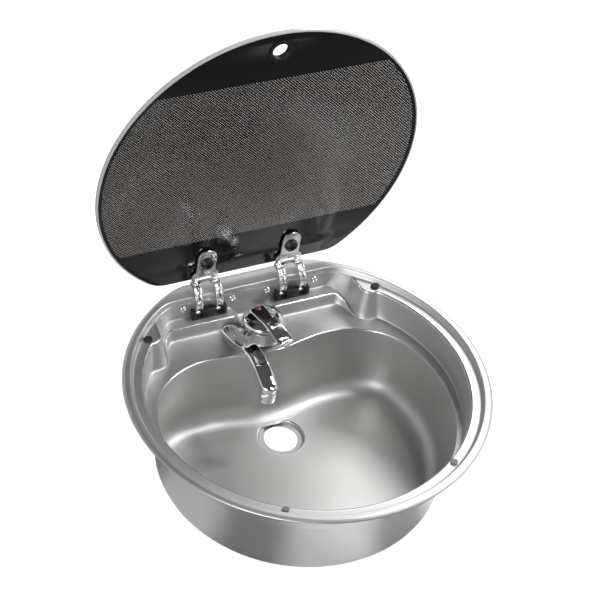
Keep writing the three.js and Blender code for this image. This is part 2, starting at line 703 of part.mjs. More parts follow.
function makeHingeArm(side, lid) {
  const plateTop = closedGlassZ - gap - bushFlangeThickness - gap - axisZ;
  const plateLow = plateTop - tabPlate;
  const edge = glassChord - axisY;              // glass edge seen from the axis
  const shoulderHalf = armSpacing + armWidth / 2;
  const tab = new THREE.Shape();
  const endY = edge - tabReach + tabWidth / 2;
  const rearY = -armInner - armPlate;
  tab.moveTo(-shoulderHalf, rearY);
  tab.lineTo(-shoulderHalf, edge - shoulderReach * 0.45);
  tab.lineTo(-tabWidth / 2, edge - shoulderReach);
  tab.lineTo(-tabWidth / 2, endY);
  tab.absarc(0, endY, tabWidth / 2, Math.PI, 2 * Math.PI, false);
  tab.lineTo(tabWidth / 2, edge - shoulderReach);
  tab.lineTo(shoulderHalf, edge - shoulderReach * 0.45);
  tab.lineTo(shoulderHalf, rearY);
  const cutHalf = armSpacing - armWidth / 2 - 0.5;
  tab.lineTo(cutHalf, rearY);
  tab.absarc(0, rearY, cutHalf, 0, Math.PI, true);
  const hole = new THREE.Path();
  hole.absarc(0, edge - tabScrewReach, screwRadius + gap, 0, 2 * Math.PI, true);
  tab.holes.push(hole);
  const pieces = [slab(tab, plateLow, plateTop, 7)];
  const web = new THREE.Shape();
  const webHalf = 2.6;
  web.moveTo(0, -webHalf);
  web.lineTo(armInner + 0.7, -webHalf);
  web.lineTo(armInner + 0.7, webHalf);
  web.lineTo(0, webHalf);
  [-1, 1].forEach((end) => {
    const low = end * armSpacing - armWidth / 2;
    const high = low + armWidth;
    pieces.push(sideways(armSector(armInner, armInner + armPlate, armStart, armEnd), low, high, 6));
    const rib = armSector(armInner + armPlate - 0.2, armOuter, armStart + 4, armEnd);
    pieces.push(sideways(rib, low, low + armRibWidth, 6));
    pieces.push(sideways(rib, high - armRibWidth, high, 6));
    pieces.push(sideways(web, low, high).rotateX(rad(armEnd - 8)));
    pieces.push(rod(armHubRadius, low, high, 14).rotateY(Math.PI / 2));
  });
  const bore = rod(pinHole, -40, 40, 16).rotateY(Math.PI / 2);
  const arm = cut(join(...pieces), bore).translate(side * hingeX, 0, 0);
  place(`hinge_arm_${sideName(side)}`, arm, chrome, lid);
}

// ---------------------------------------------------------------- lid, drawn closed about the axis
function makeGlass(lid) {
  const radius = glassRadius - glassEdgeRound;
  const outline = cutDisc(new THREE.Shape(), radius, glassChord - glassEdgeRound, glassCornerRadius);
  const options = {
    depth: glassThickness - 2 * glassEdgeRound,
    bevelEnabled: true,
    bevelThickness: glassEdgeRound,
    bevelSize: glassEdgeRound,
    bevelSegments: 1,
    curveSegments: 16,
  };
  const plate = new THREE.ExtrudeGeometry(outline, options).translate(0, 0, glassEdgeRound);
  const edge = fingerHoleRadius + glassEdgeRound;
  const finger = turned([
    [0, -1], [edge + 1, -1], [fingerHoleRadius, glassEdgeRound], [fingerHoleRadius, glassThickness - glassEdgeRound],
    [edge + 1, glassThickness + 1], [0, glassThickness + 1],
  ], 20, 0, fingerHoleY);
  const holes = [-1, 1].map((side) => {
    const reach = glassChord - tabScrewReach;
    return rod(bushRadius + gap, -1, glassThickness + 1, 14, side * hingeX, reach);
  });
  const glass = cut(plate, finger, ...holes).translate(0, -axisY, closedGlassZ - axisZ);
  place('lid_glass', glass, blackGlass, lid);
}

function makeFingerRing(lid) {
  const low = closedGlassZ - axisZ;
  const high = low + glassThickness;
  const outer = fingerHoleRadius - gap;
  const inner = fingerHoleRadius - fingerRingWall;
  const lip = fingerHoleRadius + 1.6;
  const profile = [
    [inner, low - 0.2], [inner + 1, low - 1.2], [lip, low - 1], [lip, low - gap], [outer, low - gap],
    [outer, high + gap], [lip, high + gap], [lip, high + 0.9], [inner + 1, high + 1.1],
    [inner, high + 0.2], [inner, low - 0.2],
  ];
  place('finger_ring', turned(profile, 16, 0, fingerHoleY - axisY), blackPlastic, lid);
}

function makeLidFastening(side, lid) {
  const x = side * hingeX;
  const y = glassChord - tabScrewReach - axisY;
  const glassLow = closedGlassZ - axisZ;
  const glassTop = glassLow + glassThickness;
  const flangeTop = glassLow - gap;
  const flangeLow = flangeTop - bushFlangeThickness;
  const plateLow = flangeLow - gap - tabPlate;
  const bore = screwRadius + gap;
  const bush = [
    [bore, flangeLow], [bushFlange, flangeLow], [bushFlange, flangeTop], [bushRadius, flangeTop],
    [bushRadius, glassTop - 0.2], [bore, glassTop - 0.2], [bore, flangeLow],
  ];
  place(`lid_bush_${sideName(side)}`, turned(bush, 12, x, y), blackRubber, lid);
  const headTop = plateLow - gap;
  const headLow = headTop - screwHeadHeight;
  const screw = [
    [0, headLow + 1.2], [2.4, headLow + 1.2], [3, headLow], [screwHead - 2, headLow],
    [screwHead, headLow + 1.4], [screwHead, headTop], [screwRadius, headTop],
    [screwRadius, glassTop + 1], [0, glassTop + 1],
  ];
  place(`lid_screw_${sideName(side)}`, turned(screw, 12, x, y), blackPlastic, lid);
  const capLow = glassTop + gap;
  const cap = [
    [screwRadius + gap, capLow], [capRadius, capLow], [capRadius, capLow + 0.8],
    [capRadius * 0.7, capLow + capHeight * 0.8], [0, capLow + capHeight], [0, glassTop + 1 + gap],
    [screwRadius + gap, glassTop + 1 + gap], [screwRadius + gap, capLow],
  ];
  place(`lid_cap_${sideName(side)}`, turned(cap, 12, x, y), chrome, lid);
}

// ---------------------------------------------------------------- tap
function makeTapBody() {
  const foot = deckZ + gap + tapSealThickness + gap;
  const top = at(bodyTopDepth);
  const bore = cartridgeRadius + 0.4;
  const boreLow = at(cartridgeBottomDepth) - gap;
  const cone = turned([
    [0, foot], [bodyFootRadius, foot], [bodyFootRadius, foot + 2], [bodyFootRadius - 1.2, foot + 4],
    [bodyTopRadius + 1.4, top - 1.5], [bodyTopRadius, top], [0, top],
  ], 32, 0, tapY);
  const postTop = at(spoutPostDepth);
  const post = turned([
    [0, foot], [spoutPostRadius, foot], [spoutPostRadius, postTop], [spigotRadius, postTop],
    [spigotRadius, postTop + spigotHeight], [0, postTop + spigotHeight],
  ], 20, ...spoutHub);
  const bridge = box([0, -6, foot], [Math.hypot(spoutHub[0], spoutHub[1] - tapY) - 3, 6, postTop - 0.4]);
  bridge.rotateZ(Math.atan2(spoutHub[1] - tapY, spoutHub[0])).translate(0, tapY, 0);
  const tools = [
    rod(bore, boreLow, top + 5, 24, 0, tapY),
    rod(3.6, foot - 5, boreLow + 5, 16, -7.5, tapY),
    rod(3.6, foot - 5, boreLow + 5, 16, 7.5, tapY),
  ];
  place('tap_body', cut(join(cone, post, bridge), ...tools), chrome);
  const seal = ring(tapHole + gap, bodyFootRadius - 0.6, deckZ + gap, deckZ + gap + tapSealThickness, 20, 0, tapY);
  place('tap_seal', seal, blackRubber);
}

function makeCartridge(turn, lift) {
  const low = at(cartridgeBottomDepth);
  const shoulder = at(bodyTopDepth) - gap;
  const neck = capNutRadius - 5.4;
  const inside = turretRadius + 0.4;
  const cup = at(31.5);
  const housing = [
    [0, low], [cartridgeRadius, low], [cartridgeRadius, shoulder], [neck, shoulder],
    [neck, at(23)], [inside, at(23)], [inside, cup], [0, cup],
  ];
  place('cartridge', turned(housing, 18, 0, tapY), whitePlastic);
  const nut = [
    [neck + gap, shoulder + gap], [cartridgeRadius, shoulder + gap], [cartridgeRadius, at(bodyTopDepth) + gap],
    [capNutRadius, at(bodyTopDepth) + gap], [capNutRadius, at(capNutDepth + 0.8)],
    [capNutRadius - 0.8, at(capNutDepth)], [neck + gap, at(capNutDepth)], [neck + gap, shoulder + gap],
  ];
  place('cartridge_nut', turned(nut, 18, 0, tapY), zincSteel);
  const pivot = -at(pivotDepth);
  const disc = rod(turretRadius, cup + gap + pivot, at(28.9) + pivot, 20);
  const ears = [-1, 1].map((end) => {
    const inner = end * 3.7;
    const outer = end * 6.6;
    return box(
      [Math.min(inner, outer), -3.6, at(29.2) + pivot],
      [Math.max(inner, outer), 3.6, earHeight],
    );
  });
  const pinBore = rod(1.65, -20, 20, 16).rotateY(Math.PI / 2);
  place('cartridge_turret', cut(join(disc, ...ears), pinBore), whitePlastic, turn);
  place('cartridge_pin', rod(1.45, -6.8, 6.8, 16).rotateY(Math.PI / 2), zincSteel, turn);
  const stemShape = new THREE.Shape();
  stemShape.moveTo(-2.5, 8.4);
  stemShape.lineTo(-2.5, 0);
  stemShape.absarc(0, 0, 2.5, Math.PI, 2 * Math.PI, false);
  stemShape.lineTo(2.5, 8.4);
  const stem = cut(sideways(stemShape, -3.3, 3.3), pinBore);
  place('cartridge_stem', stem, zincSteel, lift);
}

// lever drawn pointing to -Y, about the lift pivot
function leverTop(y) {
  const share = THREE.MathUtils.clamp(-y / leverLength, 0, 1);
  return at(leverTopDepth + (leverTipDepth - leverTopDepth) * share ** 1.15) - at(pivotDepth);
}

function makeLever(lift) {
  const pivot = -at(pivotDepth);
  const skirt = at(leverSkirtDepth) + pivot;
  const ceiling = skirt + 5.6;
  const dome = turned([
    [0, skirt], [leverCapRadius, skirt], [leverCapRadius, skirt + 2.2],
    [leverCapRadius - 2.2, skirt + 4.6], [leverCapRadius - 7, skirt + 7], [0, skirt + 8],
  ], 32);
  const cavity = ring(7.6, leverCapRadius - 1.6, skirt - 1, ceiling - 1.4, 32);
  const cavityTop = ring(7.6, leverCapRadius - 4.6, skirt - 1, ceiling, 32);
  const stations = [leverTail, leverTail - 4, 6, -6, -18, -27, -35, -41, -45, -leverLength];
  const widths = [5, 7.8, 8.6, 8.7, 8.6, 8.8, 9.3, leverHalfWidth, 8, 5];
  const drops = [3, 0.9, 0, 0, 0, 0, 0, 0, 0.2, 1];
  const sections = stations.map((y, i) => {
    const top = leverTop(y) - drops[i];
    const thin = leverTipThickness + (5.4 - leverTipThickness) * THREE.MathUtils.clamp(1 + (y + 18) / 29, 0, 1);
    const low = top - thin + drops[i];
    const w = widths[i];
    return [[-w + 0.6, low], [w - 0.6, low], [w, top - 1.5], [w * 0.6, top], [-w * 0.6, top], [-w, top - 1.5]]
      .map(([x, z]) => [x, y, z]);
  });
  const tongue = loft(sections);
  const scoopY = -leverLength + 14.2;
  const scoop = new THREE.SphereGeometry(15, 14, 9).rotateZ(0.1).scale(0.46, 0.86, 1);
  scoop.translate(0, scoopY, leverTop(scoopY) + 13.6);
  const socket = rod(5.4, -3, 8.8, 20);
  const boss = rod(8.2, skirt + 0.4, skirt + 7, 20);
  const lever = cut(join(cut(dome, cavity, cavityTop), boss, tongue), socket, scoop);
  place('tap_lever', lever, chrome, lift);
  const markLow = leverTop(11) + gap;
  place('temperature_mark', rod(markRadius, markLow, markLow + 0.6, 24, 0, 11), markEnamel, lift);
}

// closed skin through rings of [x, y, z] points, capped at both ends
function loft(sections) {
  const count = sections[0].length;
  const positions = sections.flat(2);
  const index = [];
  for (let s = 0; s < sections.length - 1; s += 1) {
    for (let i = 0; i < count; i += 1) {
      const a = s * count + i;
      const b = s * count + ((i + 1) % count);
      index.push(a, b, b + count, a, b + count, a + count);
    }
  }
  const last = (sections.length - 1) * count;
  for (let i = 1; i < count - 1; i += 1) {
    index.push(0, i + 1, i, last, last + i, last + i + 1);
  }
  const geometry = new THREE.BufferGeometry();
  geometry.setAttribute('position', new THREE.Float32BufferAttribute(positions, 3));
  geometry.setIndex(index);
  const volume = solid(geometry).volume();
  if (volume < 0) {
    geometry.setIndex(index.map((_, i) => index[i - (i % 3) + (2 - (i % 3))]));
  }
  return geometry;
}

// spout drawn about its swivel axis, reaching towards -Y
function makeSpout(swivel) {
  const crown = new THREE.SplineCurve(spoutCrown.map(([share, depth]) => new THREE.Vector2(-share * spoutReach, at(depth))));
  const w = spoutHalfWidth;
  const sections = crown.getPoints(14).map(({ x: y, y: top }) => {
    const low = top - spoutThickness;
    return [[-w + 1, low], [w - 1, low], [w, low + 1.4], [w, top - 2.6], [w * 0.6, top],
      [-w * 0.6, top], [-w, top - 2.6], [-w, low + 1.4]].map(([x, z]) => [x, y, z]);
  });
  const hubTop = at(spoutCrown[0][1]);
  const hubLow = at(spoutPostDepth) + gap;
  const hub = turned([[0, hubLow], [w, hubLow], [w, hubTop - 2.6], [w * 0.6, hubTop], [0, hubTop]], 28);
  const noseLow = at(outletDepth);
  const noseTop = at(spoutCrown[spoutCrown.length - 1][1]);
  const nose = turned([
    [0, noseLow], [w - 0.2, noseLow], [w, noseLow + 2], [w, noseTop - 2.6], [w * 0.6, noseTop], [0, noseTop],
  ], 28, 0, -spoutReach);
  const skirtLow = deckZ + 1.4;
  const skirtShape = new THREE.Shape();
  const inside = spoutPostRadius + 0.5;
  skirtShape.absarc(0, 0, w, rad(102), rad(262), false);
  skirtShape.absarc(0, 0, inside, rad(262), rad(102), true);
  const skirt = slab(skirtShape, skirtLow, hubLow + 1, 8);
  const wall = new THREE.Shape();
  wall.moveTo(0, skirtLow);
  wall.lineTo(-14, skirtLow + 1);
  wall.lineTo(-34, hubLow + 6);
  wall.lineTo(-20, hubLow + 4);
  wall.lineTo(0, hubLow + 1);
  const wallPiece = sideways(wall, -w, -inside);
  const postTop = at(spoutPostDepth);
  const bore = rod(spigotRadius + gap + bushWall + gap, postTop - 5, postTop + spigotHeight + gap, 24);
  const waterway = rod(aeratorRadius - 1.9, noseLow - 5, noseLow + 3.4, 20, 0, -spoutReach);
  const dish = new THREE.SphereGeometry(1, 14, 9).scale(6.2, spoutReach * 0.243, 6);
  dish.rotateX(rad(14)).translate(0, -spoutReach * 0.775, at(8.6) + 5.2);
  place('spout', cut(join(loft(sections), hub, nose, skirt, wallPiece), bore, waterway, dish), chrome, swivel);
  const bushInner = spigotRadius + gap;
  const bush = ring(bushInner, bushInner + bushWall, postTop + gap, postTop + spigotHeight - gap, 16);
  place('spout_bush', bush, whitePlastic, swivel);
  const head = noseLow - gap;
  const screenRadius = aeratorRadius - 2.2;
  const screen = [
    [0, head - 1.2], [screenRadius, head - 1.2], [screenRadius, head + 1.6], [screenRadius - 1.2, head + 2],
    [0, head + 2.6],
  ];
  place('aerator_screen', turned(screen, 20, 0, -spoutReach), whitePlastic, swivel);
  const sleeveLow = head - aeratorHeight;
  const sleeve = [
    [aeratorRadius - 1.9, sleeveLow], [aeratorRadius - 0.8, sleeveLow], [aeratorRadius, sleeveLow + 0.8],
    [aeratorRadius, head], [aeratorRadius - 1.9, head], [aeratorRadius - 1.9, sleeveLow],
  ];
  place('aerator_sleeve', turned(sleeve, 18, 0, -spoutReach), chrome, swivel);
}

function makeShank() {
  const top = deckZ + gap + tapSealThickness;
  const under = deckZ - sheet - gap;
  place('tap_shank', ring(shankBore, shankRadius, top - shankLength, top, 20, 0, tapY), zincSteel);
  const inner = shankRadius + gap;
  const sealLow = under - sealWasher;
  place('shank_seal', ring(inner, washerRadius, sealLow, under, 20, 0, tapY), blackRubber);
  const plateTop = sealLow - gap;
  place('shank_washer', ring(inner, washerRadius - 1, plateTop - steelWasher, plateTop, 20, 0, tapY), zincSteel);
  const nutTop = plateTop - steelWasher - gap;
  const hex = new THREE.CylinderGeometry(nutAcross / 2 / Math.cos(Math.PI / 6), nutAcross / 2 / Math.cos(Math.PI / 6),
    nutHeight, 6).rotateX(Math.PI / 2).translate(0, tapY, nutTop - nutHeight / 2);
  place('shank_nut', cut(hex, rod(inner, nutTop - 20, nutTop + 5, 20, 0, tapY)), zincSteel);
}

// ---------------------------------------------------------------- assembly
makeBasin();
makeRimSeal();
makeBumpers();
makeRivets();

const lid = new THREE.Group();
lid.position.set(0, axisY, axisZ);
lid.rotation.x = -rad(lidOpening);
root.add(lid);
makeGlass(lid);
makeFingerRing(lid);
[-1, 1].forEach((side) => {
  makeHingeBlock(side);
  makeHingeBracket(side);
  makeHingePin(side);
  makeHingeArm(side, lid);
  makeLidFastening(side, lid);
});

makeTapBody();
makeShank();
const turn = new THREE.Group();
turn.position.set(0, tapY, at(pivotDepth));
turn.rotation.z = rad(leverRestTurn);
root.add(turn);
makeCartridge(turn, turn);
makeLever(turn);

const swivel = new THREE.Group();
swivel.position.set(spoutHub[0], spoutHub[1], 0);
root.add(swivel);
makeSpout(swivel);

export default root;
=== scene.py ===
"""Dresses the round motor-home sink: pressed basin, printed glass lid on goose-neck
hinges, and the low mixer tap. Shapes are worked out in millimetres with z = 0 on the
worktop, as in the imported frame, and go into the meshes in metres."""

import math
from functools import partial

import bmesh
import bpy
import numpy as np
from mathutils import Euler, Matrix, Vector


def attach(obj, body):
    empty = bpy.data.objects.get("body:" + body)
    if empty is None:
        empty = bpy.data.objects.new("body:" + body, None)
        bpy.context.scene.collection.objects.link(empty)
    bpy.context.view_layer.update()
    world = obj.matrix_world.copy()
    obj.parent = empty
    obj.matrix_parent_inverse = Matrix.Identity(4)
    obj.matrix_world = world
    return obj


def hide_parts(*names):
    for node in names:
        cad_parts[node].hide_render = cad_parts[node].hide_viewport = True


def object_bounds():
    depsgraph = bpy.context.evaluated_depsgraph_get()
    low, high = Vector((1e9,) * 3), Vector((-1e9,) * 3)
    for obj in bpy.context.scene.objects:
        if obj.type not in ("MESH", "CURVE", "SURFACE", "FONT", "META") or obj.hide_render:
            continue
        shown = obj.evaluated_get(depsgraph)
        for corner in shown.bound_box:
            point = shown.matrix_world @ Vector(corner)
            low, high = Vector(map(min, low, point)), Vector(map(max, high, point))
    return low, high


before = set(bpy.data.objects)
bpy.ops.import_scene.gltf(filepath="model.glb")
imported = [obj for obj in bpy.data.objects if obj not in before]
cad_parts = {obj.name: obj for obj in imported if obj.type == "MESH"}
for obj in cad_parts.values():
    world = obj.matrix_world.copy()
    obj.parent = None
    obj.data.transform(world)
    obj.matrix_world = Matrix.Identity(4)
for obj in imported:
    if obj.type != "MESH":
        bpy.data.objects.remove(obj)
cad_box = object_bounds()

MM = 0.001
SIDES = ((-1, "left"), (1, "right"))

# sizes shared by several pieces, in millimetres; depths are below the top of the rim
GAP = 0.3  # between pieces that lie on each other
RIM_RISE = 4.0
SHEET = 0.9
RIM_RADIUS = 210.0
RIM_REAR = 193.5
STEP_RADIUS = 200.3
FASCIA = 168.0  # y of the wall behind the shelves
LEDGE = 7.4  # depth
LEDGE_INNER = 186.3  # radius
SHELF = 29.0  # depth
DECK = 44.0  # depth
FLOOR = 140.0  # depth
FLOOR_BEND = 25.0
DRAIN_Y = 45.0
AXIS = np.array([0.0, 181.0, -6.5])  # of the hinges
OPEN_ANGLE = 84.6
GLASS_LOW = -0.5
GLASS_THICK = 5.0
GLASS_TOP = GLASS_LOW + GLASS_THICK
GLASS_RADIUS = 195.5
GLASS_CHORD = 159.0  # y of the straight rear edge
FINGER_Y = -171.0
HINGE_X = 54.2
SCREW_Y = GLASS_CHORD - 27.5
FLANGE = 1.0  # thickness of the screw's rubber bush under the glass
TAB = 2.2  # thickness of the hinge tab
ARM_INNER, ARM_OUTER = 18.2, 20.8  # radii about the hinge axis
ARM_START, ARM_END = 168.0, 300.0  # degrees about the hinge axis
ARM_WIDTH, ARM_SPACING = 8.8, 13.0
TAP_Y = 126.0
PIVOT = np.array([0.0, 126.0, -22.0])  # of the lever
LEVER_TURN = 15.0
SPOUT_HUB = np.array([-37.0, 135.6, 0.0])
SPOUT_REACH = 111.0
SPOUT_HALF = 9.8


def height(depth):
    """Height above the worktop of a depth below the top of the rim."""
    return RIM_RISE - depth


# ---------------------------------------------------------------- materials


def srgb(code):
    """Turns an sRGB hex value into linear red, green, blue and alpha."""
    parts = [int(code[i : i + 2], 16) / 255 for i in (1, 3, 5)]
    linear = [c / 12.92 if c <= 0.04045 else ((c + 0.055) / 1.055) ** 2.4 for c in parts]
    return (*linear, 1.0)


def add(tree, kind, inputs=None, **settings):
    """Adds a shader node with its settings, and sets or links each input that is given."""
    node = tree.nodes.new("ShaderNode" + kind)
    for key, value in settings.items():
        setattr(node, key, value)
    for key, value in (inputs or {}).items():
        if isinstance(value, bpy.types.NodeSocket):
            tree.links.new(value, node.inputs[key])
        else:
            node.inputs[key].default_value = value
    return node


def new_material(name):
    """Gives a material, its empty node tree, and the object coordinates."""
    material = bpy.data.materials.new(name)
    material.use_nodes = True
    tree = material.node_tree
    tree.nodes.clear()
    place = add(tree, "TexCoord").outputs["Object"]
    return material, tree, place


def finish_material(material, tree, inputs):
    """Ends a material's nodes with a principled shader."""
    shader = add(tree, "BsdfPrincipled", inputs)
    add(tree, "OutputMaterial", {"Surface": shader.outputs[0]})
    return material


def ramp(tree, value, low, high, from_low=0.0, from_high=1.0):
    """Spreads a texture's value between two numbers."""
    limits = {"From Min": from_low, "From Max": from_high, "To Min": low, "To Max": high}
    return add(tree, "MapRange", {"Value": value, **limits}).outputs["Result"]


def tint(tree, value, first, second):
    """Mixes two colours, each a hex value or a node's output, by a texture's value."""
    colours = [srgb(c) if isinstance(c, str) else c for c in (first, second)]
    inputs = {0: value, 6: colours[0], 7: colours[1]}
    return add(tree, "Mix", inputs, data_type="RGBA").outputs[2]


def math_node(tree, operation, first, second=0.0):
    """One arithmetic step between two values."""
    return add(tree, "Math", {0: first, 1: second}, operation=operation).outputs[0]


def noise(tree, place, scale, detail):
    """The value of a noise texture laid over the piece."""
    inputs = {"Vector": place, "Scale": scale, "Detail": detail}
    return add(tree, "TexNoise", inputs).outputs["Fac"]


def bump(tree, level, strength, distance):
    """The normal of a fine relief that follows a texture's value."""
    inputs = {"Height": level, "Strength": strength, "Distance": distance}
    return add(tree, "Bump", inputs).outputs["Normal"]


def satin_stainless():
    """Stainless sheet, pressed and then bead blasted: a soft grey metal whose highlights
    are wide, slightly uneven, and brighter on the bends. There the die has polished it
    smoother, and its colour is lighter: a painted highlight."""
    material, tree, place = new_material("stainless_bead_blasted")
    grit = noise(tree, place, 900.0, 3.0)
    cloud = noise(tree, place, 14.0, 3.0)
    bend = add(tree, "Attribute", attribute_name="bend").outputs["Fac"]
    matt = ramp(tree, cloud, 0.47, 0.53, 0.3, 0.7)
    inputs = {
        # the base colour is lighter on the bends: a painted highlight; only the lower roughness
        # there is the die's polish
        "Base Color": tint(tree, bend, "#cacac9", "#f0f0f0"),
        "Metallic": 1.0,
        "Roughness": math_node(tree, "MULTIPLY", matt, ramp(tree, bend, 1.0, 0.42)),
        "Normal": bump(tree, grit, 0.05, 0.0004),
    }
    return finish_material(material, tree, inputs)


def plated(name, colour, scale, detail, rough_low, rough_high):
    """Bright metal plate: one colour, with a polish that is slightly uneven."""
    material, tree, place = new_material(name)
    wave = noise(tree, place, scale, detail)
    inputs = {
        "Base Color": srgb(colour),
        "Metallic": 1.0,
        "Roughness": ramp(tree, wave, rough_low, rough_high, 0.35, 0.65),
    }
    return finish_material(material, tree, inputs)


def zinc_steel():
    """Zinc plated steel: dull grey metal with cloudy spangle."""
    material, tree, place = new_material("steel_zinc_plated")
    cells = add(tree, "TexVoronoi", {"Vector": place, "Scale": 260.0})
    spangle = cells.outputs["Distance"]
    inputs = {
        "Base Color": tint(tree, spangle, "#a2a6a9", "#bfc2c4"),
        "Metallic": 1.0,
        "Roughness": ramp(tree, spangle, 0.32, 0.46),
    }
    return finish_material(material, tree, inputs)


def moulded(name, dark, light, rough_low, rough_high, scale=500.0, strength=0.1):
    """A moulded plastic or rubber: one colour, with the fine grain of its mould."""
    material, tree, place = new_material(name)
    grain = noise(tree, place, scale, 2.0)
    inputs = {
        "Base Color": tint(tree, grain, dark, light),
        "Roughness": ramp(tree, grain, rough_low, rough_high),
        "Normal": bump(tree, grain, strength, 0.0003),
    }
    return finish_material(material, tree, inputs)


def printed_glass():
    """Toughened glass with black ceramic print: a bare clear edge, a black border and two
    black bands, and between them a field of staggered dots that lets light through. The
    edge is ground, so it reads as a light grey line."""
    material, tree, place = new_material("glass_ceramic_print")
    # the lid stands open at rest, so the print's place is turned back to the closed lid
    turn = math.radians(OPEN_ANGLE)
    centre = AXIS * MM
    shift = centre - np.array(Matrix.Rotation(turn, 3, "X")) @ centre
    inputs = {"Vector": place, "Rotation": (turn, 0, 0), "Location": tuple(shift)}
    flat = add(tree, "Mapping", inputs).outputs["Vector"]
    axes = add(tree, "SeparateXYZ", {"Vector": flat})
    x, y = axes.outputs["X"], axes.outputs["Y"]
    calc = partial(math_node, tree)
    radius = calc("SQRT", calc("ADD", calc("MULTIPLY", x, x), calc("MULTIPLY", y, y)))
    pitch = 3.6 * MM  # across two rows of the staggered screen
    waves = [calc("COSINE", calc("MULTIPLY", axis, 2 * math.pi / pitch)) for axis in (x, y)]
    dots = calc("GREATER_THAN", calc("MULTIPLY", *waves), 0.12)
    inside = calc("LESS_THAN", radius, 189.5 * MM)
    above = calc("GREATER_THAN", y, -132.7 * MM)
    below = calc("LESS_THAN", y, 97.6 * MM)
    field = calc("MULTIPLY", inside, calc("MULTIPLY", above, below))
    clear = calc("MULTIPLY", field, dots)
    rim = calc("GREATER_THAN", radius, 193.4 * MM)
    chord = calc("GREATER_THAN", y, (GLASS_CHORD - 1.3) * MM)
    edge = calc("MAXIMUM", rim, chord)
    inputs = {
        "Base Color": tint(tree, edge, tint(tree, clear, "#0b0c0e", "#a9a4a0"), "#c4c8cb"),
        "Transmission Weight": clear,
        "Roughness": 0.14,
        "IOR": 1.45,
    }
    return finish_material(material, tree, inputs)


def enamel_mark():
    """Enamel in the tap's mark: red to the left for hot and blue to the right for cold."""
    material, tree, place = new_material("enamel_red_and_blue")
    turn = math.radians(-LEVER_TURN)
    local = add(tree, "Mapping", {"Vector": place, "Rotation": (0, 0, turn)})
    axes = add(tree, "SeparateXYZ", {"Vector": local.outputs["Vector"]})
    middle = -math.sin(turn) * TAP_Y * MM
    right = math_node(tree, "GREATER_THAN", axes.outputs["X"], middle)
    inputs = {
        "Base Color": tint(tree, right, "#b3202c", "#2f6fc4"),
        "Roughness": 0.2,
        "Coat Weight": 1.0,
        "Coat Roughness": 0.05,
    }
    return finish_material(material, tree, inputs)


STAINLESS = satin_stainless()
CHROME = plated("chrome_plate", "#eceef0", 60.0, 2.0, 0.03, 0.07)
NICKEL = plated("nickel_plate_satin", "#f0f1f2", 240.0, 3.0, 0.16, 0.24)
ZINC = zinc_steel()
GLASS = printed_glass()
BLACK_NYLON = moulded("nylon_black", "#070708", "#0e0f10", 0.5, 0.62)
BLACK_SCREW = moulded("nylon_black_glossy", "#050506", "#0a0a0b", 0.3, 0.4)
BLACK_RUBBER = moulded("rubber_black", "#171718", "#222223", 0.65, 0.8)
GREY_RUBBER = moulded("rubber_grey", "#6f7173", "#7d7f81", 0.5, 0.65)
FOAM = moulded("foam_closed_cell", "#1d1d1e", "#3a3a3b", 0.9, 1.0, scale=1400.0, strength=0.5)
ACETAL = moulded("acetal_white", "#dcdcd8", "#e8e8e4", 0.35, 0.45)
ENAMEL = enamel_mark()
SLOTS = {
    STAINLESS: "satin_steel",
    CHROME: "chrome",
    NICKEL: "chrome",
    ZINC: "zinc_steel",
    GLASS: "black_glass",
    BLACK_NYLON: "black_plastic",
    BLACK_SCREW: "black_plastic",
    BLACK_RUBBER: "black_rubber",
    GREY_RUBBER: "grey_rubber",
    ENAMEL: "mark_enamel",
}

# ---------------------------------------------------------------- mesh helpers


def put(name, data):
    """Adds an object with this data to the scene."""
    thing = bpy.data.objects.new(name, data)
    bpy.context.scene.collection.objects.link(thing)
    return thing


def put_piece(name, mesh, work, look, body, nodes, sharp, slot=None):
    """Writes the worked mesh back, with its material, and makes it ride on a body. It works
    out a slot, that of its look if no other is given, but does not keep it."""
    bmesh.ops.recalc_face_normals(work, faces=work.faces)
    work.to_mesh(mesh)
    work.free()
    mesh.shade_smooth()
    mesh.set_sharp_from_angle(angle=math.radians(sharp))
    mesh.materials.append(look)
    piece = put(name, mesh)
    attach(piece, body)
    if nodes:
        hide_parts(*nodes)
    slot = slot or SLOTS[look]
    return piece


def make_piece(name, points, faces, look, body, *nodes, sharp=38.0, slot=None):
    """Puts points in millimetres and their faces into a mesh that rides on a body."""
    mesh = bpy.data.meshes.new(name)
    mesh.from_pydata((np.asarray(points) * MM).tolist(), [], faces)
    mesh.validate()
    work = bmesh.new()
    work.from_mesh(mesh)
    bmesh.ops.remove_doubles(work, verts=work.verts, dist=1e-6)
    bmesh.ops.dissolve_degenerate(work, edges=work.edges, dist=1e-7)
    return put_piece(name, mesh, work, look, body, nodes, sharp, slot)


def grid(x, y, z):
    """Points on a grid, from coordinates that broadcast to its shape."""
    return np.stack(np.broadcast_arrays(x, y, z), axis=-1)


def grid_faces(rows, columns, wrap_rows=False, wrap_columns=False):
    """Quads between neighbouring points of a grid, joined round where it wraps."""
    r = np.arange(rows if wrap_rows else rows - 1)
    c = np.arange(columns if wrap_columns else columns - 1)
    r0, c0 = np.meshgrid(r, c, indexing="ij")
    r1, c1 = (r0 + 1) % rows, (c0 + 1) % columns
    corners = [(r0, c0), (r0, c1), (r1, c1), (r1, c0)]
    return np.stack([i * columns + j for i, j in corners], axis=-1).reshape(-1, 4).tolist()


def tube(rows):
    """Points and faces of a grid whose rows are closed sections, capped at both ends."""
    count = rows.shape[1]
    last = (len(rows) - 1) * count
    caps = [list(range(count))[::-1], list(range(last, last + count))]
    return rows.reshape(-1, 3), grid_faces(len(rows), count, wrap_columns=True) + caps


def joined(parts):
    """Joins pairs of points and faces into one pair."""
    points, faces, start = [], [], 0
    for more, polygons in parts:
        points.append(more)
        faces += [[start + i for i in polygon] for polygon in polygons]
        start += len(more)
    return np.vstack(points), faces


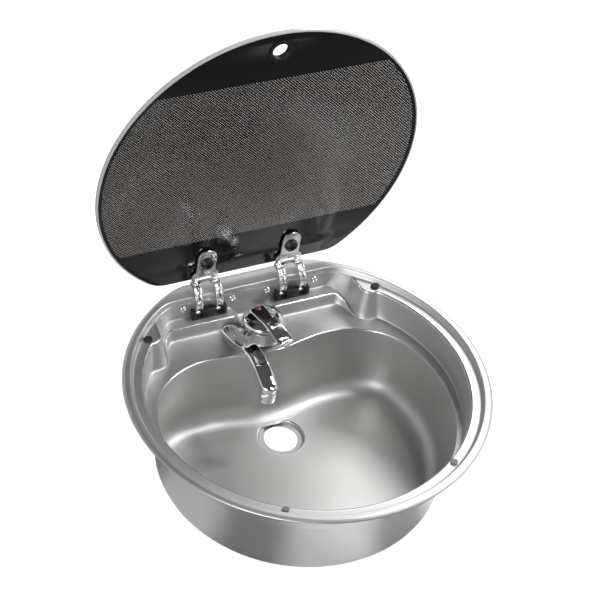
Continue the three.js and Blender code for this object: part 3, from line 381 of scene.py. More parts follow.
def turned(profile, steps=64, centre=(0.0, 0.0), closed=False):
    """Turns a profile of (radius, z) about Z: points on a grid of profile by angle."""
    profile = np.asarray(profile, dtype=float)
    angle = np.linspace(0, 2 * np.pi, steps, endpoint=False)
    radius, z = profile[:, :1], profile[:, 1:]
    points = grid(centre[0] + radius * np.cos(angle), centre[1] + radius * np.sin(angle), z)
    return points.reshape(-1, 3), grid_faces(len(profile), steps, closed, wrap_columns=True)


def turned_piece(name, profile, steps, centre, *rest, closed=False, change=None, **options):
    """Makes a piece of a turned profile. change moves its points to their place."""
    points, faces = turned(profile, steps, centre, closed)
    if change is not None:
        points = change(points)
    make_piece(name, points, faces, *rest, **options)


def soften(profile, bevel=0.4, steps=3, closed=False):
    """Rounds each corner of a polyline by a quadratic curve that starts bevel before it."""
    points = np.asarray(profile, dtype=float)
    count = len(points)
    result = [] if closed else [points[0]]
    indices = range(count) if closed else range(1, count - 1)
    for i in indices:
        before, corner, after = points[i - 1], points[i], points[(i + 1) % count]
        back, ahead = before - corner, after - corner
        reach = min(bevel, np.linalg.norm(back) * 0.45, np.linalg.norm(ahead) * 0.45)
        a = corner + back / np.linalg.norm(back) * reach
        c = corner + ahead / np.linalg.norm(ahead) * reach
        t = np.linspace(0, 1, steps + 1)[:, None]
        result.extend((1 - t) ** 2 * a + 2 * t * (1 - t) * corner + t**2 * c)
    if not closed:
        result.append(points[-1])
    return np.array(result)


def box_profile(left, right, low, high, bevel=0.3, steps=2):
    """A rectangle with rounded corners, as a closed profile."""
    corners = [(left, low), (right, low), (right, high), (left, high)]
    return soften(corners, bevel, steps, closed=True)


def rotated(points, degrees, centre=(0.0, 0.0, 0.0), axis="Z"):
    """Turns points about an axis through the centre."""
    turn = np.array(Matrix.Rotation(math.radians(degrees), 3, axis))
    return (np.asarray(points) - centre) @ turn.T + centre


def catmull(points, t):
    """A smooth curve through the points, evaluated at t from 0 to 1."""
    points = np.asarray(points, dtype=float)
    ends = np.vstack([2 * points[0] - points[1], points, 2 * points[-1] - points[-2]])
    spot = np.clip(np.asarray(t) * (len(points) - 1), 0, len(points) - 1 - 1e-9)
    i = spot.astype(int)
    s = (spot - i)[:, None]
    a, b, c, d = ends[i], ends[i + 1], ends[i + 2], ends[i + 3]
    return 0.5 * (
        2 * b + (c - a) * s + (2 * a - 5 * b + 4 * c - d) * s**2 + (3 * b - a - 3 * c + d) * s**3
    )


def bezier(a, b, c, count):
    """Points along a quadratic curve from a to c, without its first point."""
    t = (np.arange(1, count + 1) / count)[:, None]
    a, b, c = (np.asarray(p, dtype=float) for p in (a, b, c))
    return (1 - t) ** 2 * a + 2 * t * (1 - t) * b + t**2 * c


def smoothstep(value, low, high):
    """An even rise from 0 at low to 1 at high, level at both ends."""
    t = np.clip((value - low) / (high - low), 0, 1)
    return t * t * (3 - 2 * t)


# ---------------------------------------------------------------- basin

# points along half an outline: rear, corner, side, and the arc from its start angle
REAR, CORNER, SIDE, ARC = 46, 18, 24, 62
ARC_START = 41.0


def on_circle(radius, degrees, centre_y=0.0):
    """Points of a circle at angles counted from +X."""
    angle = np.radians(degrees)
    return np.stack([radius * np.cos(angle), centre_y + radius * np.sin(angle)], axis=-1)


def front_arc(radius, start, centre_y=0.0):
    """From the start angle round to the front, without the first point."""
    return on_circle(radius, np.linspace(start, -90, ARC + 1)[1:], centre_y)


def disc_half(radius, rear, straight, corner_turn):
    """Right half of a circle with a straight rear edge and a rounded corner."""
    back = np.linspace((0, rear), (straight, rear), REAR + 1)
    end = on_circle(radius, corner_turn)
    slope = math.tan(math.radians(corner_turn))
    knee = [end[0] + (end[1] - rear) * slope, rear]
    corner = bezier(back[-1], knee, end, CORNER)
    side = on_circle(radius, np.linspace(corner_turn, ARC_START, SIDE + 1)[1:])
    return np.vstack([back, corner, side, front_arc(radius, ARC_START)])


def recess_half(radius, rear, inset, spread):
    """Right half of the opening: rear wall, corner, recess side and the rounded nose
    where the ledge ends, then the circle. spread rounds the nose towards its foot."""
    back = np.linspace((0, rear), (98, rear), REAR + 1)
    turn = np.array([127.4 - inset, 149.0 - 0.5 * inset])
    corner = bezier(back[-1], [116.0 - 0.75 * inset, rear], turn, CORNER)
    nose = np.array([129.4 - inset, 127.0 + 0.5 * spread])
    straight = SIDE // 3
    side = np.linspace(turn, nose, straight + 1)[1:]
    tip = [131.6 - 1.25 * inset - 0.1 * spread, 116.0 - 1.1 * inset - 0.1 * spread]
    start = 38.5 - 0.35 * spread
    nose_curve = bezier(nose, tip, on_circle(radius, start), SIDE - straight)
    return np.vstack([back, corner, side, nose_curve, front_arc(radius, start)])


EDGE_X = [0, 20, 45, 68, 90, 109, 127, 143]
DECK_EDGE = np.column_stack([EDGE_X, [95, 96.2, 101.3, 104.6, 104, 99.4, 90.6, 78.4]])
FOOT_EDGE = np.column_stack([EDGE_X, [90, 91, 95.6, 98.8, 98.8, 96.4, 91.6, 82.6]])


def bowl_half(radius, centre_y, edge, pull):
    """Right half of the bowl's outline: the curve that bulges forward at the tap, then
    a circle from 25 degrees on. pull moves the rear curve forward."""
    meet = on_circle(radius, 25.0, centre_y)
    curve = np.vstack([edge - [0, pull], meet])
    fine = catmull(curve, np.linspace(0, 1, 400))
    run = np.concatenate([[0], np.cumsum(np.linalg.norm(np.diff(fine, axis=0), axis=1))])
    knots = np.cumsum([0, REAR, CORNER, SIDE])
    spots = np.interp(np.arange(knots[-1] + 1), knots, [0, 0.56, 0.64, 1.0]) * run[-1]
    rear = np.stack([np.interp(spots, run, fine[:, axis]) for axis in (0, 1)], axis=-1)
    return np.vstack([rear, front_arc(radius, 25.0, centre_y)])


HALF = REAR + 1 + CORNER + SIDE + ARC
STATION = np.arange(HALF)


def whole(half, depth):
    """Mirrors half an outline and gives it its depth, a number or one per station."""
    right = np.column_stack([half, np.broadcast_to(height(depth), HALF)])
    left = right[-2:0:-1] * [-1, 1, 1]
    return np.vstack([right, left])


# the rolled edge of the rim: distance inside its outline, corner's angle, depth
RIM_ROWS = [(0, 63.5, 3.0), (0.1, 63.5, 2.3), (0.7, 63.5, 1.7), (3.1, 62.8, 0.25), (4.0, 62.6, 0)]
# the step down to the ledge: added radius, added rear, half rear width, corner's angle, depth
STEP_ROWS = [
    (3, 3, 92, 52, 0),
    (0.9, 0.9, 98, 50.5, 0),
    (0, 0, 98, 50, 0.55),
    (-0.6, -0.15, 98, 49.9, 1.8),
    (-2.3, -0.2, 98, 49.7, 6.2),
    (-2.9, -0.25, 98, 49.6, 7.2),
    (-4.2, -0.3, 98, 49.5, LEDGE),
]
# the inner edge of the ledge: added radius, added rear, inset, spread, added depth
LEDGE_ROWS = [
    (3.2, -0.35, -2.8, 0, 0),
    (1.2, -0.4, -1.0, 0, 0.1),
    (0, -0.45, 0, 0, 0.9),
    (-0.3, -0.5, 0.3, 0.5, 2.6),
]
# shelf y and depth, gap y and depth, share of the way to the bowl's edge, deck depth
DECK_ROWS = [
    (167.0, 28.2, 166.9, 40.6, 0.0, 42.0),
    (165.8, 28.9, 165.6, 42.8, 0.03, 43.4),
    (163.2, 29.0, 162.4, 43.8, 0.10, 43.9),
    (157.5, 29.0, 157.0, 44.0, 0.24, 44.0),
    (152.4, 29.0, 152.0, 44.0, 0.36, 44.0),
    (151.3, 29.3, 150.9, 44.0, 0.40, 44.0),
    (150.6, 30.2, 149.8, 44.0, 0.43, 44.0),
    (150.0, 33.0, 148.6, 44.0, 0.46, 44.0),
    (149.0, 38.0, 147.2, 44.0, 0.50, 44.0),
    (148.0, 41.6, 145.6, 44.0, 0.54, 44.0),
    (146.4, 43.5, 143.6, 44.0, 0.60, 44.0),
    (143.6, 44.0, 140.8, 44.0, 0.68, 44.0),
    (130.0, 44.0, 129.0, 44.0, 0.86, 44.0),
]
# the drain's seat: radius, depth below the floor
DRAIN_ROWS = [(31.0, 0), (28.6, 0.1), (27.2, 1.0), (26.6, 3.2)]
DRAIN_ROWS += [(25.8, 4.3), (24.4, 4.5), (20.6, 4.5), (20.0, 4.9)]


def basin_rows():
    """Closed outlines from the rim's edge down to the drain. Between the wall's foot and
    the bowl's edge, each station runs straight from one to the other, at the height of
    the hinge shelf, of the gap between the shelves, or of the deck."""
    rows = [
        whole(disc_half(RIM_RADIUS - cut, RIM_REAR - cut, 70, turn), depth)
        for cut, turn, depth in RIM_ROWS
    ]
    rows += [
        whole(disc_half(STEP_RADIUS + out, FASCIA + back, straight, turn), depth)
        for out, back, straight, turn, depth in STEP_ROWS
    ]
    rows += [
        whole(recess_half(LEDGE_INNER + out, FASCIA + back, inset, spread), LEDGE + depth)
        for out, back, inset, spread, depth in LEDGE_ROWS
    ]
    x = recess_half(LEDGE_INNER, FASCIA, 0, 0)[:, 0]
    on_shelf = smoothstep(x, 15, 25)
    past = (STATION - REAR) / CORNER
    away = smoothstep(past, 0.35, 1.7)

    def mixed(shelf, gap, deck):
        """The depth that belongs to each station."""
        rear = gap + (shelf - gap) * on_shelf
        return rear + (deck - rear) * away

    rows.append(whole(recess_half(184.2, FASCIA - 0.6, 5.5, 3), mixed(20.0, 28.0, 30.0)))
    rows.append(whole(recess_half(183.4, FASCIA - 0.7, 7.5, 5), mixed(25.8, 36.0, 38.5)))
    foot = recess_half(183.0, FASCIA - 0.8, 8.6, 6)
    edge = bowl_half(171.4, -9.0, DECK_EDGE, 0)
    outer = edge + (foot - edge) / np.linalg.norm(foot - edge, axis=1)[:, None] * 0.9
    reach = foot[:, 1] - outer[:, 1]
    for shelf_y, shelf_d, gap_y, gap_d, share, deck_d in DECK_ROWS:
        target = gap_y + (shelf_y - gap_y) * on_shelf
        rear_share = (foot[:, 1] - target) / np.maximum(reach, 1.0)
        part = rear_share + (share - rear_share) * away
        half = foot + (outer - foot) * np.clip(part, 0, 1)[:, None]
        rows.append(whole(half, mixed(shelf_d, gap_d, deck_d)))
    wall = bowl_half(171.0, -8.3, DECK_EDGE, 0.6)
    wall_foot = bowl_half(169.0, 0, FOOT_EDGE, 0)
    rows += [
        whole(outer + (foot - outer) * 0.035, DECK),
        whole(outer, DECK + 0.12),
        whole(edge, DECK + 0.9),
        whole(bowl_half(171.2, -8.9, DECK_EDGE, 0.3), DECK + 2.8),
        whole(wall, DECK + 8.0),
        whole(wall_foot * 0.3 + wall * 0.7, DECK + 26),
    ]
    centre = np.array([0.0, -20.0])
    outwards = wall_foot - centre
    for turn in np.radians(np.linspace(0, 90, 6)):
        keep = 1 - FLOOR_BEND * (1 - math.cos(turn)) / np.linalg.norm(outwards, axis=1)
        depth = FLOOR - FLOOR_BEND * (1 - math.sin(turn))
        rows.append(whole(centre + outwards * keep[:, None], depth))
    floor_edge = rows[-1]
    drain = np.array([0.0, DRAIN_Y])
    out = floor_edge[:, :2] - drain
    out /= np.linalg.norm(out, axis=1)[:, None]
    seat = [
        np.column_stack([drain + out * radius, np.full(len(out), height(FLOOR + depth))])
        for radius, depth in DRAIN_ROWS
    ]
    rows += [floor_edge + (seat[0] - floor_edge) * share for share in (0.12, 0.5)]
    return np.array(rows + seat)


def cut_corners(rows):
    """Chaikin's rule down each station: every segment keeps its two inner quarters."""
    first = rows[:-1] * 0.75 + rows[1:] * 0.25
    second = rows[:-1] * 0.25 + rows[1:] * 0.75
    between = np.stack([first, second], axis=1).reshape(-1, *rows.shape[1:])
    return np.concatenate([rows[:1], between, rows[-1:]])


def surface_normals(points):
    """Unit normals of a grid whose columns wrap round, from its own differences."""
    along = np.roll(points, -1, axis=1) - np.roll(points, 1, axis=1)
    across = np.gradient(points, axis=0)
    normal = np.cross(across, along)
    length = np.maximum(np.linalg.norm(normal, axis=2, keepdims=True), 1e-9)
    return normal / length


def outward_bend(rows):
    """How sharply the sheet bends outwards: the turn of each station's profile per
    millimetre, from 0 on flats to 1 on a tight bend, spread to the neighbouring rows."""
    step = np.diff(rows, axis=0)
    length = np.maximum(np.linalg.norm(step, axis=2), 1e-6)
    unit = step / length[:, :, None]
    along = np.roll(rows, -1, axis=1) - np.roll(rows, 1, axis=1)
    along /= np.maximum(np.linalg.norm(along, axis=2), 1e-6)[:, :, None]
    turn = (np.cross(unit[:-1], unit[1:]) * along[1:-1]).sum(axis=2)
    curve = np.zeros(rows.shape[:2])
    curve[1:-1] = turn / np.maximum(0.5 * (length[:-1] + length[1:]), 0.05)
    share = np.clip(curve / 0.3, 0, 1)
    share[:36] *= 0.3  # the rolled edge and the step of the rim stay satin, with little painted highlight
    for _ in range(2):
        share[1:-1] = (share[:-2] + 2 * share[1:-1] + share[2:]) / 4
    return share


def make_basin():
    """The pressing: the rows skinned, and an underside one sheet's thickness away."""
    rows = basin_rows()
    for _ in range(2):
        rows = (np.roll(rows, 1, axis=1) + 2 * rows + np.roll(rows, -1, axis=1)) / 4
    rows = cut_corners(cut_corners(rows))
    normal = surface_normals(rows)
    way = 1.0 if normal[20, :, 2].mean() > 0 else -1.0  # row 20 is on the flat of the rim
    under = rows - way * SHEET * normal
    under = under[sorted({*range(0, len(rows), 3), len(rows) - 1})]
    count = rows.shape[1]
    skins = []
    for skin, order in ((rows, 1), (under, -1)):
        quads = grid_faces(len(skin), count, wrap_columns=True)
        skins.append((skin.reshape(-1, 3), [quad[::order] for quad in quads]))
    points, faces = joined(skins)
    ring = np.arange(count)
    ahead = (ring + 1) % count
    start, end = rows.size // 3, (rows.size + under.size) // 3
    top, low = start - count, end - count
    for corners in (
        [ring, start + ring, start + ahead, ahead],
        [top + ring, top + ahead, low + ahead, low + ring],
    ):
        faces += np.stack(corners, axis=-1).tolist()
    piece = make_piece(
        "basin_pressing", points, faces, STAINLESS, "basin", "basin", sharp=60
    )
    # the bend attribute sets the die's smoother polish and a painted highlight: a lighter colour on
    # outward bends
    bend = piece.data.attributes.new("bend", "FLOAT", "POINT")
    # the outer face keeps the sheet's own smoother finish, about halfway to a bend, and half of the
    # bends' painted highlight in its colour
    outside = np.full(under.size // 3, 0.45)
    bend.data.foreach_set("value", np.concatenate([outward_bend(rows).ravel(), outside]))
    cut_slots(piece)


def cut_slots(piece):
    """Cuts the four upright slots for the hinge arms through the rear wall."""
    corners = np.indices((2, 2, 2)).reshape(3, 8).T
    quads = [(0, 1, 3, 2), (4, 6, 7, 5), (0, 4, 5, 1), (2, 3, 7, 6), (0, 2, 6, 4), (1, 5, 7, 3)]
    boxes = []
    size = [9.4, 6.5, 13.9]
    for x in [side * HINGE_X + end * ARM_SPACING for side in (-1, 1) for end in (-1, 1)]:
        boxes.append(([x - 4.7, FASCIA - 3.5, -23.3] + corners * size, quads))
    points, faces = joined(boxes)
    cutter = bpy.data.meshes.new("slot_cutter")
    cutter.from_pydata((points * MM).tolist(), [], faces)
    tool = put("slot_cutter", cutter)
    change = piece.modifiers.new("slots", "BOOLEAN")
    change.operation = "DIFFERENCE"
    change.solver = "EXACT"
    change.object = tool
    result = piece.evaluated_get(bpy.context.evaluated_depsgraph_get())
    shape = bpy.data.meshes.new_from_object(result)
    piece.modifiers.clear()
    piece.data = shape
    bpy.data.objects.remove(tool)


# ---------------------------------------------------------------- lid


def to_open(points):
    """Swings points of the closed lid up to where the lid stands at rest."""
    return rotated(points, -OPEN_ANGLE, AXIS, "X")


def cut_disc(radius, chord, corner, steps=160):
    """A circle with a straight edge on +Y, its two corners rounded by quadratics."""
    meet = math.sqrt(radius**2 - chord**2)
    straight = meet - corner * 0.5
    turn = np.degrees(math.asin(chord / radius) - corner * 0.5 / radius)
    right = on_circle(radius, turn)
    return np.vstack(
        [
            [[straight, chord], [-straight, chord]],
            bezier([-straight, chord], [-meet, chord], right * [-1, 1], 12)[:-1],
            on_circle(radius, np.linspace(180 - turn, 360 + turn, steps)),
            bezier(right, [meet, chord], [straight, chord], 12)[:-1],
        ]
    )


def circle_loop(radius, centre, steps=48):
    """A closed circle about a centre."""
    return on_circle(radius, np.linspace(0, 360, steps, endpoint=False)) + np.asarray(centre)


def plate(name, loops, insets, look, body, *nodes, change):
    """A flat plate with holes. loops(inset) gives the outlines for an edge inset, insets
    lists (inset, z) across the edge, from the lower face to the upper one, and change
    moves the points to their place."""
    work = bmesh.new()
    levels = []
    for inset, z in insets:
        flats = [change(np.column_stack([loop, np.full(len(loop), z)])) for loop in loops(inset)]
        levels.append([[work.verts.new(point * MM) for point in flat] for flat in flats])
    for lower, upper in zip(levels, levels[1:]):
        for a, b in zip(lower, upper):
            for corners in zip(a, a[1:] + a[:1], b[1:] + b[:1], b):
                work.faces.new(corners)
    for level in (levels[0], levels[-1]):
        edges = [work.edges.get(ends) for loop in level for ends in zip(loop, loop[1:] + loop[:1])]
        bmesh.ops.triangle_fill(work, use_beauty=False, use_dissolve=False, edges=edges)
    return put_piece(name, bpy.data.meshes.new(name), work, look, body, nodes, 30)


def make_glass():
    """Toughened plate with a ground and polished edge, the finger hole and screw holes."""

    def loops(inset):
        outline = cut_disc(GLASS_RADIUS - inset, GLASS_CHORD - inset, 30)
        finger_hole = circle_loop(12.2 + inset, (0, FINGER_Y))
        screws = [circle_loop(5.1 + inset, (side * HINGE_X, SCREW_Y), 32) for side in (-1, 1)]
        return [outline, finger_hole, *screws]

    edge = [(1.0, 0), (0.4, 0.15), (0, 0.7)]
    insets = [(inset, GLASS_LOW + z) for inset, z in edge]
    insets += [(inset, GLASS_TOP - z) for inset, z in edge[::-1]]
    names = (GLASS, "lid", "lid_glass")
    plate("lid_glass_plate", loops, insets, *names, change=to_open)


def make_finger_ring():
    """Moulded liner of the finger hole: a rounded flange on each face of the glass."""
    lip = np.array([(9.0, 0.2), (10.0, -1.1), (13.6, -0.9), (13.8, -0.3), (11.9, -0.3)])
    profile = np.vstack([lip + [0, GLASS_LOW], lip[::-1] * [1, -1] + [0, GLASS_TOP]])
    profile = soften(profile, 0.5, 4, closed=True)
    names = (BLACK_NYLON, "lid", "finger_ring")
    place = (0, FINGER_Y)
    turned_piece("finger_hole_liner", profile, 64, place, *names, closed=True, change=to_open)


def arm_strips():
    """The two curved arms of one hinge about its axis: a channel section, thin in the
    middle and raised at both edges, carried along an arc from the glass to the hub."""
    half = ARM_WIDTH / 2
    right = np.array([(half, ARM_OUTER), (half - 1.7, ARM_OUTER), (half - 2.3, ARM_INNER + 1.2)])
    base = [(-half, ARM_INNER), (half, ARM_INNER)]
    section = soften(np.vstack([base, right, right[::-1] * [-1, 1]]), 0.5, 3, closed=True)
    x, radius = section.T
    angles = np.radians(np.linspace(ARM_START, ARM_END, 44))[:, None]
    y, z = np.cos(angles) * radius, np.sin(angles) * radius
    return [tube(grid(x + end * ARM_SPACING, y, z)) for end in (-1, 1)]


def arm_shoulder():
    """The bend between tab and arms: a sheet of the full width that follows the arc, its
    front edge cut back in a half round between the two arms."""
    columns, steps = 61, 16
    across = np.linspace(-1, 1, columns) * (ARM_SPACING + ARM_WIDTH / 2)
    hollow = 8.4
    cut = np.sqrt(np.clip(1 - (across / hollow) ** 2, 0, 1))
    ends = 196.0 - 24.0 * cut
    start = ARM_START - 6
    turn = np.radians(start + np.linspace(0, 1, steps)[:, None] * (ends - start))
    inner, outer = (
        grid(across, np.cos(turn) * radius, np.sin(turn) * radius)
        for radius in (ARM_INNER + 0.2, ARM_INNER + 2.2)
    )
    faces = grid_faces(2 * steps, columns, wrap_rows=True)
    low = np.arange(steps - 1)
    high = 2 * steps - 1 - low
    for column, order in ((0, -1), (columns - 1, 1)):
        quads = np.stack([low, low + 1, high - 1, high], axis=-1) * columns + column
        faces += quads[:, ::order].tolist()
    return np.concatenate([inner, outer[::-1]]).reshape(-1, 3), faces


def make_hinge_arm(side, name):
    """Plated hinge arm: the tab on the glass, its flared shoulder with a half-round
    cut-out, the two curved arms, and the hubs on the pin behind the wall."""
    edge = GLASS_CHORD - AXIS[1]
    rear = -ARM_INNER - 1.4
    offset = np.array([side * HINGE_X, AXIS[1], AXIS[2]])

    def place(points):
        return to_open(points + offset)

    def loops(inset):
        shoulder, half = 17.0 - inset, 12.0 - inset
        cap = on_circle(half, np.linspace(180, 360, 25), edge - 36)
        knee = [-half - 1.6, edge - 12.4]
        upper = bezier([-shoulder, edge - 6.5], [-shoulder, edge - 10], knee, 5)
        lower = bezier(knee, [-half, edge - 14], [-half, edge - 17], 5)
        left = np.vstack([[[-shoulder, rear + inset], [-shoulder, edge - 6.5]], upper, lower])
        notch_angle = np.radians(np.linspace(0, 180, 19))
        notch_y = rear - 3.6 - np.abs(np.sin(notch_angle)) * 4.2
        notch = np.stack([(8.6 + inset) * np.cos(notch_angle), notch_y], axis=-1)
        notch[0, 1] = notch[-1, 1] = rear + inset
        outline = np.vstack([left, cap, (left * [-1, 1])[::-1], notch])
        return [outline, circle_loop(2.9 + inset, (0, SCREW_Y - AXIS[1]), 24)]

    high = GLASS_LOW - GAP - FLANGE - GAP - AXIS[2]
    low = high - TAB
    insets = [(0.7, low), (0.25, low + 0.12), (0, low + 0.6), (0, high - 0.5), (0.4, high)]
    plate(f"hinge_tab_{name}", loops, insets, NICKEL, "lid", change=place)
    points, faces = joined([*arm_strips(), arm_shoulder()])
    names = (NICKEL, "lid", f"hinge_arm_{name}")
    make_piece(f"hinge_arm_strips_{name}", place(points), faces, *names)
    hub, hub_faces = turned(box_profile(2.65, 5, -4, 4, 0.4), 32, closed=True)
    x, z = box_profile(-4, 4, -2.6, 2.6, 0.5).T
    reach = np.array([4.4, 11, ARM_INNER + 0.6])[:, None]
    parts = []
    for shift in (-ARM_SPACING, ARM_SPACING):
        web, web_faces = tube(grid(x + shift, reach, z))
        parts += [
            (hub[:, [2, 0, 1]] + [shift, 0, 0], hub_faces),
            (rotated(web, ARM_END - 8, axis="X"), web_faces),
        ]
    points, faces = joined(parts)
    make_piece(f"hinge_hubs_{name}", place(points), faces, CHROME, "lid")


def make_lid_fastening(side, name):
    """Rubber bush through the glass, black socket screw on the tab, and the chrome cap
    on the lid's outer face."""
    centre = np.array([side * HINGE_X, SCREW_Y])
    top = GLASS_TOP

    def on_lid(piece, profile, steps, look, node, change=to_open, **options):
        """A turned piece of this fastening."""
        names = (look, "lid", f"{node}_{name}")
        turned_piece(f"{piece}_{name}", profile, steps, centre, *names, change=change, **options)

    high = GLASS_LOW - GAP
    low = high - FLANGE
    bush = [(2.8, low), (8.6, low), (8.6, high), (4.8, high), (4.8, top - 0.2), (2.8, top - 0.2)]
    bush = soften(bush, 0.25, 2, closed=True)
    on_lid("glass_bush", bush, 48, BLACK_RUBBER, "lid_bush", closed=True)
    head = low - GAP - TAB - GAP
    low = head - 4.6
    socket_and_rim = [(0.0, 3.2), (2.6, 3.2), (3.4, 0.4), (4.2, 0), (6.4, 0.4), (7.8, 2.2)]
    screw = [(out, low + z) for out, z in socket_and_rim]
    screw += [(7.8, head), (2.5, head), (2.5, top + 1), (0.0, top + 1)]

    def lobed(points):
        """Six lobes in the socket and twelve shallow grips round the head."""
        across = points[:, :2] - centre
        out, z = np.hypot(*across.T), points[:, 2]
        angle = np.arctan2(across[:, 1], across[:, 0])
        socket = (out < 3.8) & (z < low + 4)
        grip = (out > 5.8) & (z < head - 0.2)
        lobes = 1 + 0.2 * np.cos(6 * angle) * socket + 0.035 * np.cos(12 * angle) * grip
        return to_open(np.column_stack([centre + across * lobes[:, None], z]))

    screw = soften(screw, 0.5, 4)
    on_lid("lid_socket_screw", screw, 72, BLACK_SCREW, "lid_screw", lobed)
    dome = [(2.8, 0.3), (9.0, 0.3), (9.0, 1.1), (6.6, 2.7), (3.2, 3.2), (0, 3.3)]
    cap = np.vstack([soften(dome, 0.5, 4), [(0, 1.3), (2.8, 1.3), (2.8, 0.3)]]) + [0, top]
    on_lid("lid_cover_cap", cap, 64, CHROME, "lid_cap")


def make_hinge_block(side, name):
    """Moulded guide block on the shelf, open at the two slots that the arms run in."""
    rear = FASCIA - 0.7
    front = rear - 8.6
    shelf = height(SHELF) + GAP
    top = shelf + 11.6
    block = [(front, shelf), (rear - 3, shelf), (rear, shelf + 3)]
    block += [(rear, top), (front + 1.6, top), (front, top - 1.6)]
    foot = [(front, shelf), (rear - 3, shelf)]
    foot += [(rear - 1.6, shelf + 1.3), (front + 0.1, shelf + 1.3)]

    def bar(shape, low, high, end):
        """A bar along X, whose section shrinks to a share of its size at both ends."""
        middle = shape.mean(axis=0)
        x = side * HINGE_X + np.array([low, low + 0.35, high - 0.35, high])[:, None]
        scaled = middle + (shape - middle) * np.array([end, 1.0, 1.0, end])[:, None, None]
        return tube(grid(x, scaled[..., 0], scaled[..., 1]))

    section = soften(block, 0.6, 3, closed=True)
    slot = ARM_WIDTH / 2 + 0.4
    inner, outer = ARM_SPACING - slot, ARM_SPACING + slot
    spans = [(-22, -outer), (-inner, inner), (outer, 22)]
    bars = [bar(section, low, high, 0.965) for low, high in spans]
    bars.append(bar(soften(foot, 0.3, 2, closed=True), -21.6, 21.6, 1.0))
    points, faces = joined(bars)
    names = (BLACK_NYLON, "basin", f"hinge_block_{name}")
    make_piece(f"hinge_guide_{name}", points, faces, *names)


def make_rivets():
    """Tubular rivets that hold the hinge brackets: a domed flange round a drawn-in bore."""
    flange = [(0, 2.6), (1.5, 2.5), (2.0, -0.4), (2.7, -1.7), (3.9, -1.3), (4.5, 0.0)]
    shank = [(2.3, 0.1), (1.9, 3.6), (2.9, 3.7), (2.9, 4.9), (0, 5.0)]
    points, faces = turned(soften(flange + shank, 0.35, 3), 40)
    spots = sorted(side * HINGE_X + end * 31.5 for side in (-1, 1) for end in (-1, 1))
    for i, x in enumerate(spots, start=1):
        place = points[:, [0, 2, 1]] + [x, FASCIA - 0.75, height(14.5)]
        names = (CHROME, "basin", f"rivet_{i}")
        make_piece(f"bracket_rivet_{i}", place, faces, *names, slot="zinc_steel")


def make_bumpers():
    """Rubber buttons on the ledge that the closed glass lies on."""
    seat = height(LEDGE) + 0.15
    under = height(LEDGE) - SHEET - GAP
    top = GLASS_LOW - GAP
    for end, angle, radius, look in (
        ("rear", 40.3, 5.0, BLACK_RUBBER),
        ("front", -58.2, 4.0, GREY_RUBBER),
    ):
        x, y = on_circle(191.6, angle)
        plug = [(0, under - 3), (2, under - 3), (3, under - 1), (3, under), (2, under), (2, seat)]
        button = [(radius, seat), (radius, top - 0.6), (radius - 0.9, top), (0, top)]
        profile = soften(plug + button, 0.4, 3)
        for side, name in SIDES:
            names = (look, "basin", f"bumper_{end}_{name}")
            turned_piece(f"button_{end}_{name}", profile, 40, (side * x, y), *names)


# ---------------------------------------------------------------- tap


def make_tap_body():
    """Cast and chromed body: a cone on the deck, and the low arm with the post on which
    the spout swivels."""
    foot = height(DECK) + 1.6
    top = height(27.0)
    outside = [(14.8, foot), (24.5, foot), (24.5, foot + 1.6), (23.6, foot + 3.4)]
    shoulder = [(20.4, top - 1.6), (20.4, top - 0.6), (18.6, top), (15.0, top)]
    inside = [(15.0, top - 9), (14.8, foot + 2)]
    cone = soften(outside + shoulder + inside, 0.6, 4, closed=True)
    chrome = (CHROME, "basin")
    turned_piece("tap_casting", cone, 96, (0, TAP_Y), *chrome, "tap_body", closed=True)
    post_top = height(37.5)
    post = [(0, foot), (8.4, foot), (8.4, post_top), (5.0, post_top)]
    post = soften([*post, (5.0, post_top + 4), (0, post_top + 4)], 0.4, 3)
    turned_piece("spout_post", post, 64, SPOUT_HUB[:2], *chrome)
    reach = np.linspace(14, 34, 9)[:, None]
    swell = 6 + 1.6 * ((reach - 24) / 10) ** 2
    across, z = box_profile(-1, 1, foot, post_top - 0.4, 0.35, 4).T
    points, faces = tube(grid(reach, swell * across, z))
    heading = math.degrees(math.atan2(SPOUT_HUB[1] - TAP_Y, SPOUT_HUB[0]))
    points = rotated(points, heading) + [0, TAP_Y, 0]
    make_piece("spout_link", points, faces, *chrome)
    seal = box_profile(17.3, 23.9, foot - 1.3, foot - 0.3)
    rubber = (BLACK_RUBBER, "basin", "tap_seal")
    turned_piece("tap_foot_seal", seal, 72, (0, TAP_Y), *rubber, closed=True)


LEVER_TOP = [(-48.0, 4.2), (-46, 5.6), (-40, 7.7), (-30, 11.2), (-20, 14.4), (-12, 15.6)]
LEVER_TOP += [(0, 16.0), (10, 16.0), (19, 15.6)]


def lever_height(y):
    """Top of the lever above its pivot: flat over the cap, then falling to the tip."""
    fine = catmull(LEVER_TOP, np.linspace(0, 1, 200))
    return np.interp(y, fine[:, 0], fine[:, 1])


def on_lever(points):
    """Turns points about the pivot to where the lever stands at rest."""
    return rotated(points, LEVER_TURN) + PIVOT


def super_ellipse(steps, roundness):
    """Across and up on a super-ellipse: cosine and sine to the power 2 / roundness."""
    angle = np.linspace(0, 2 * np.pi, steps, endpoint=False)
    return [np.sign(v) * np.abs(v) ** (2 / roundness) for v in (np.cos(angle), np.sin(angle))]


def scoop(away, depth, lip, lip_place, lip_width):
    """Depth of a hollow that ends where away is 1, inside a raised lip."""
    raised = lip * np.exp(-(((away - lip_place) / lip_width) ** 2))
    return depth * np.clip(1 - away**2, 0, 1) ** 1.5 - raised


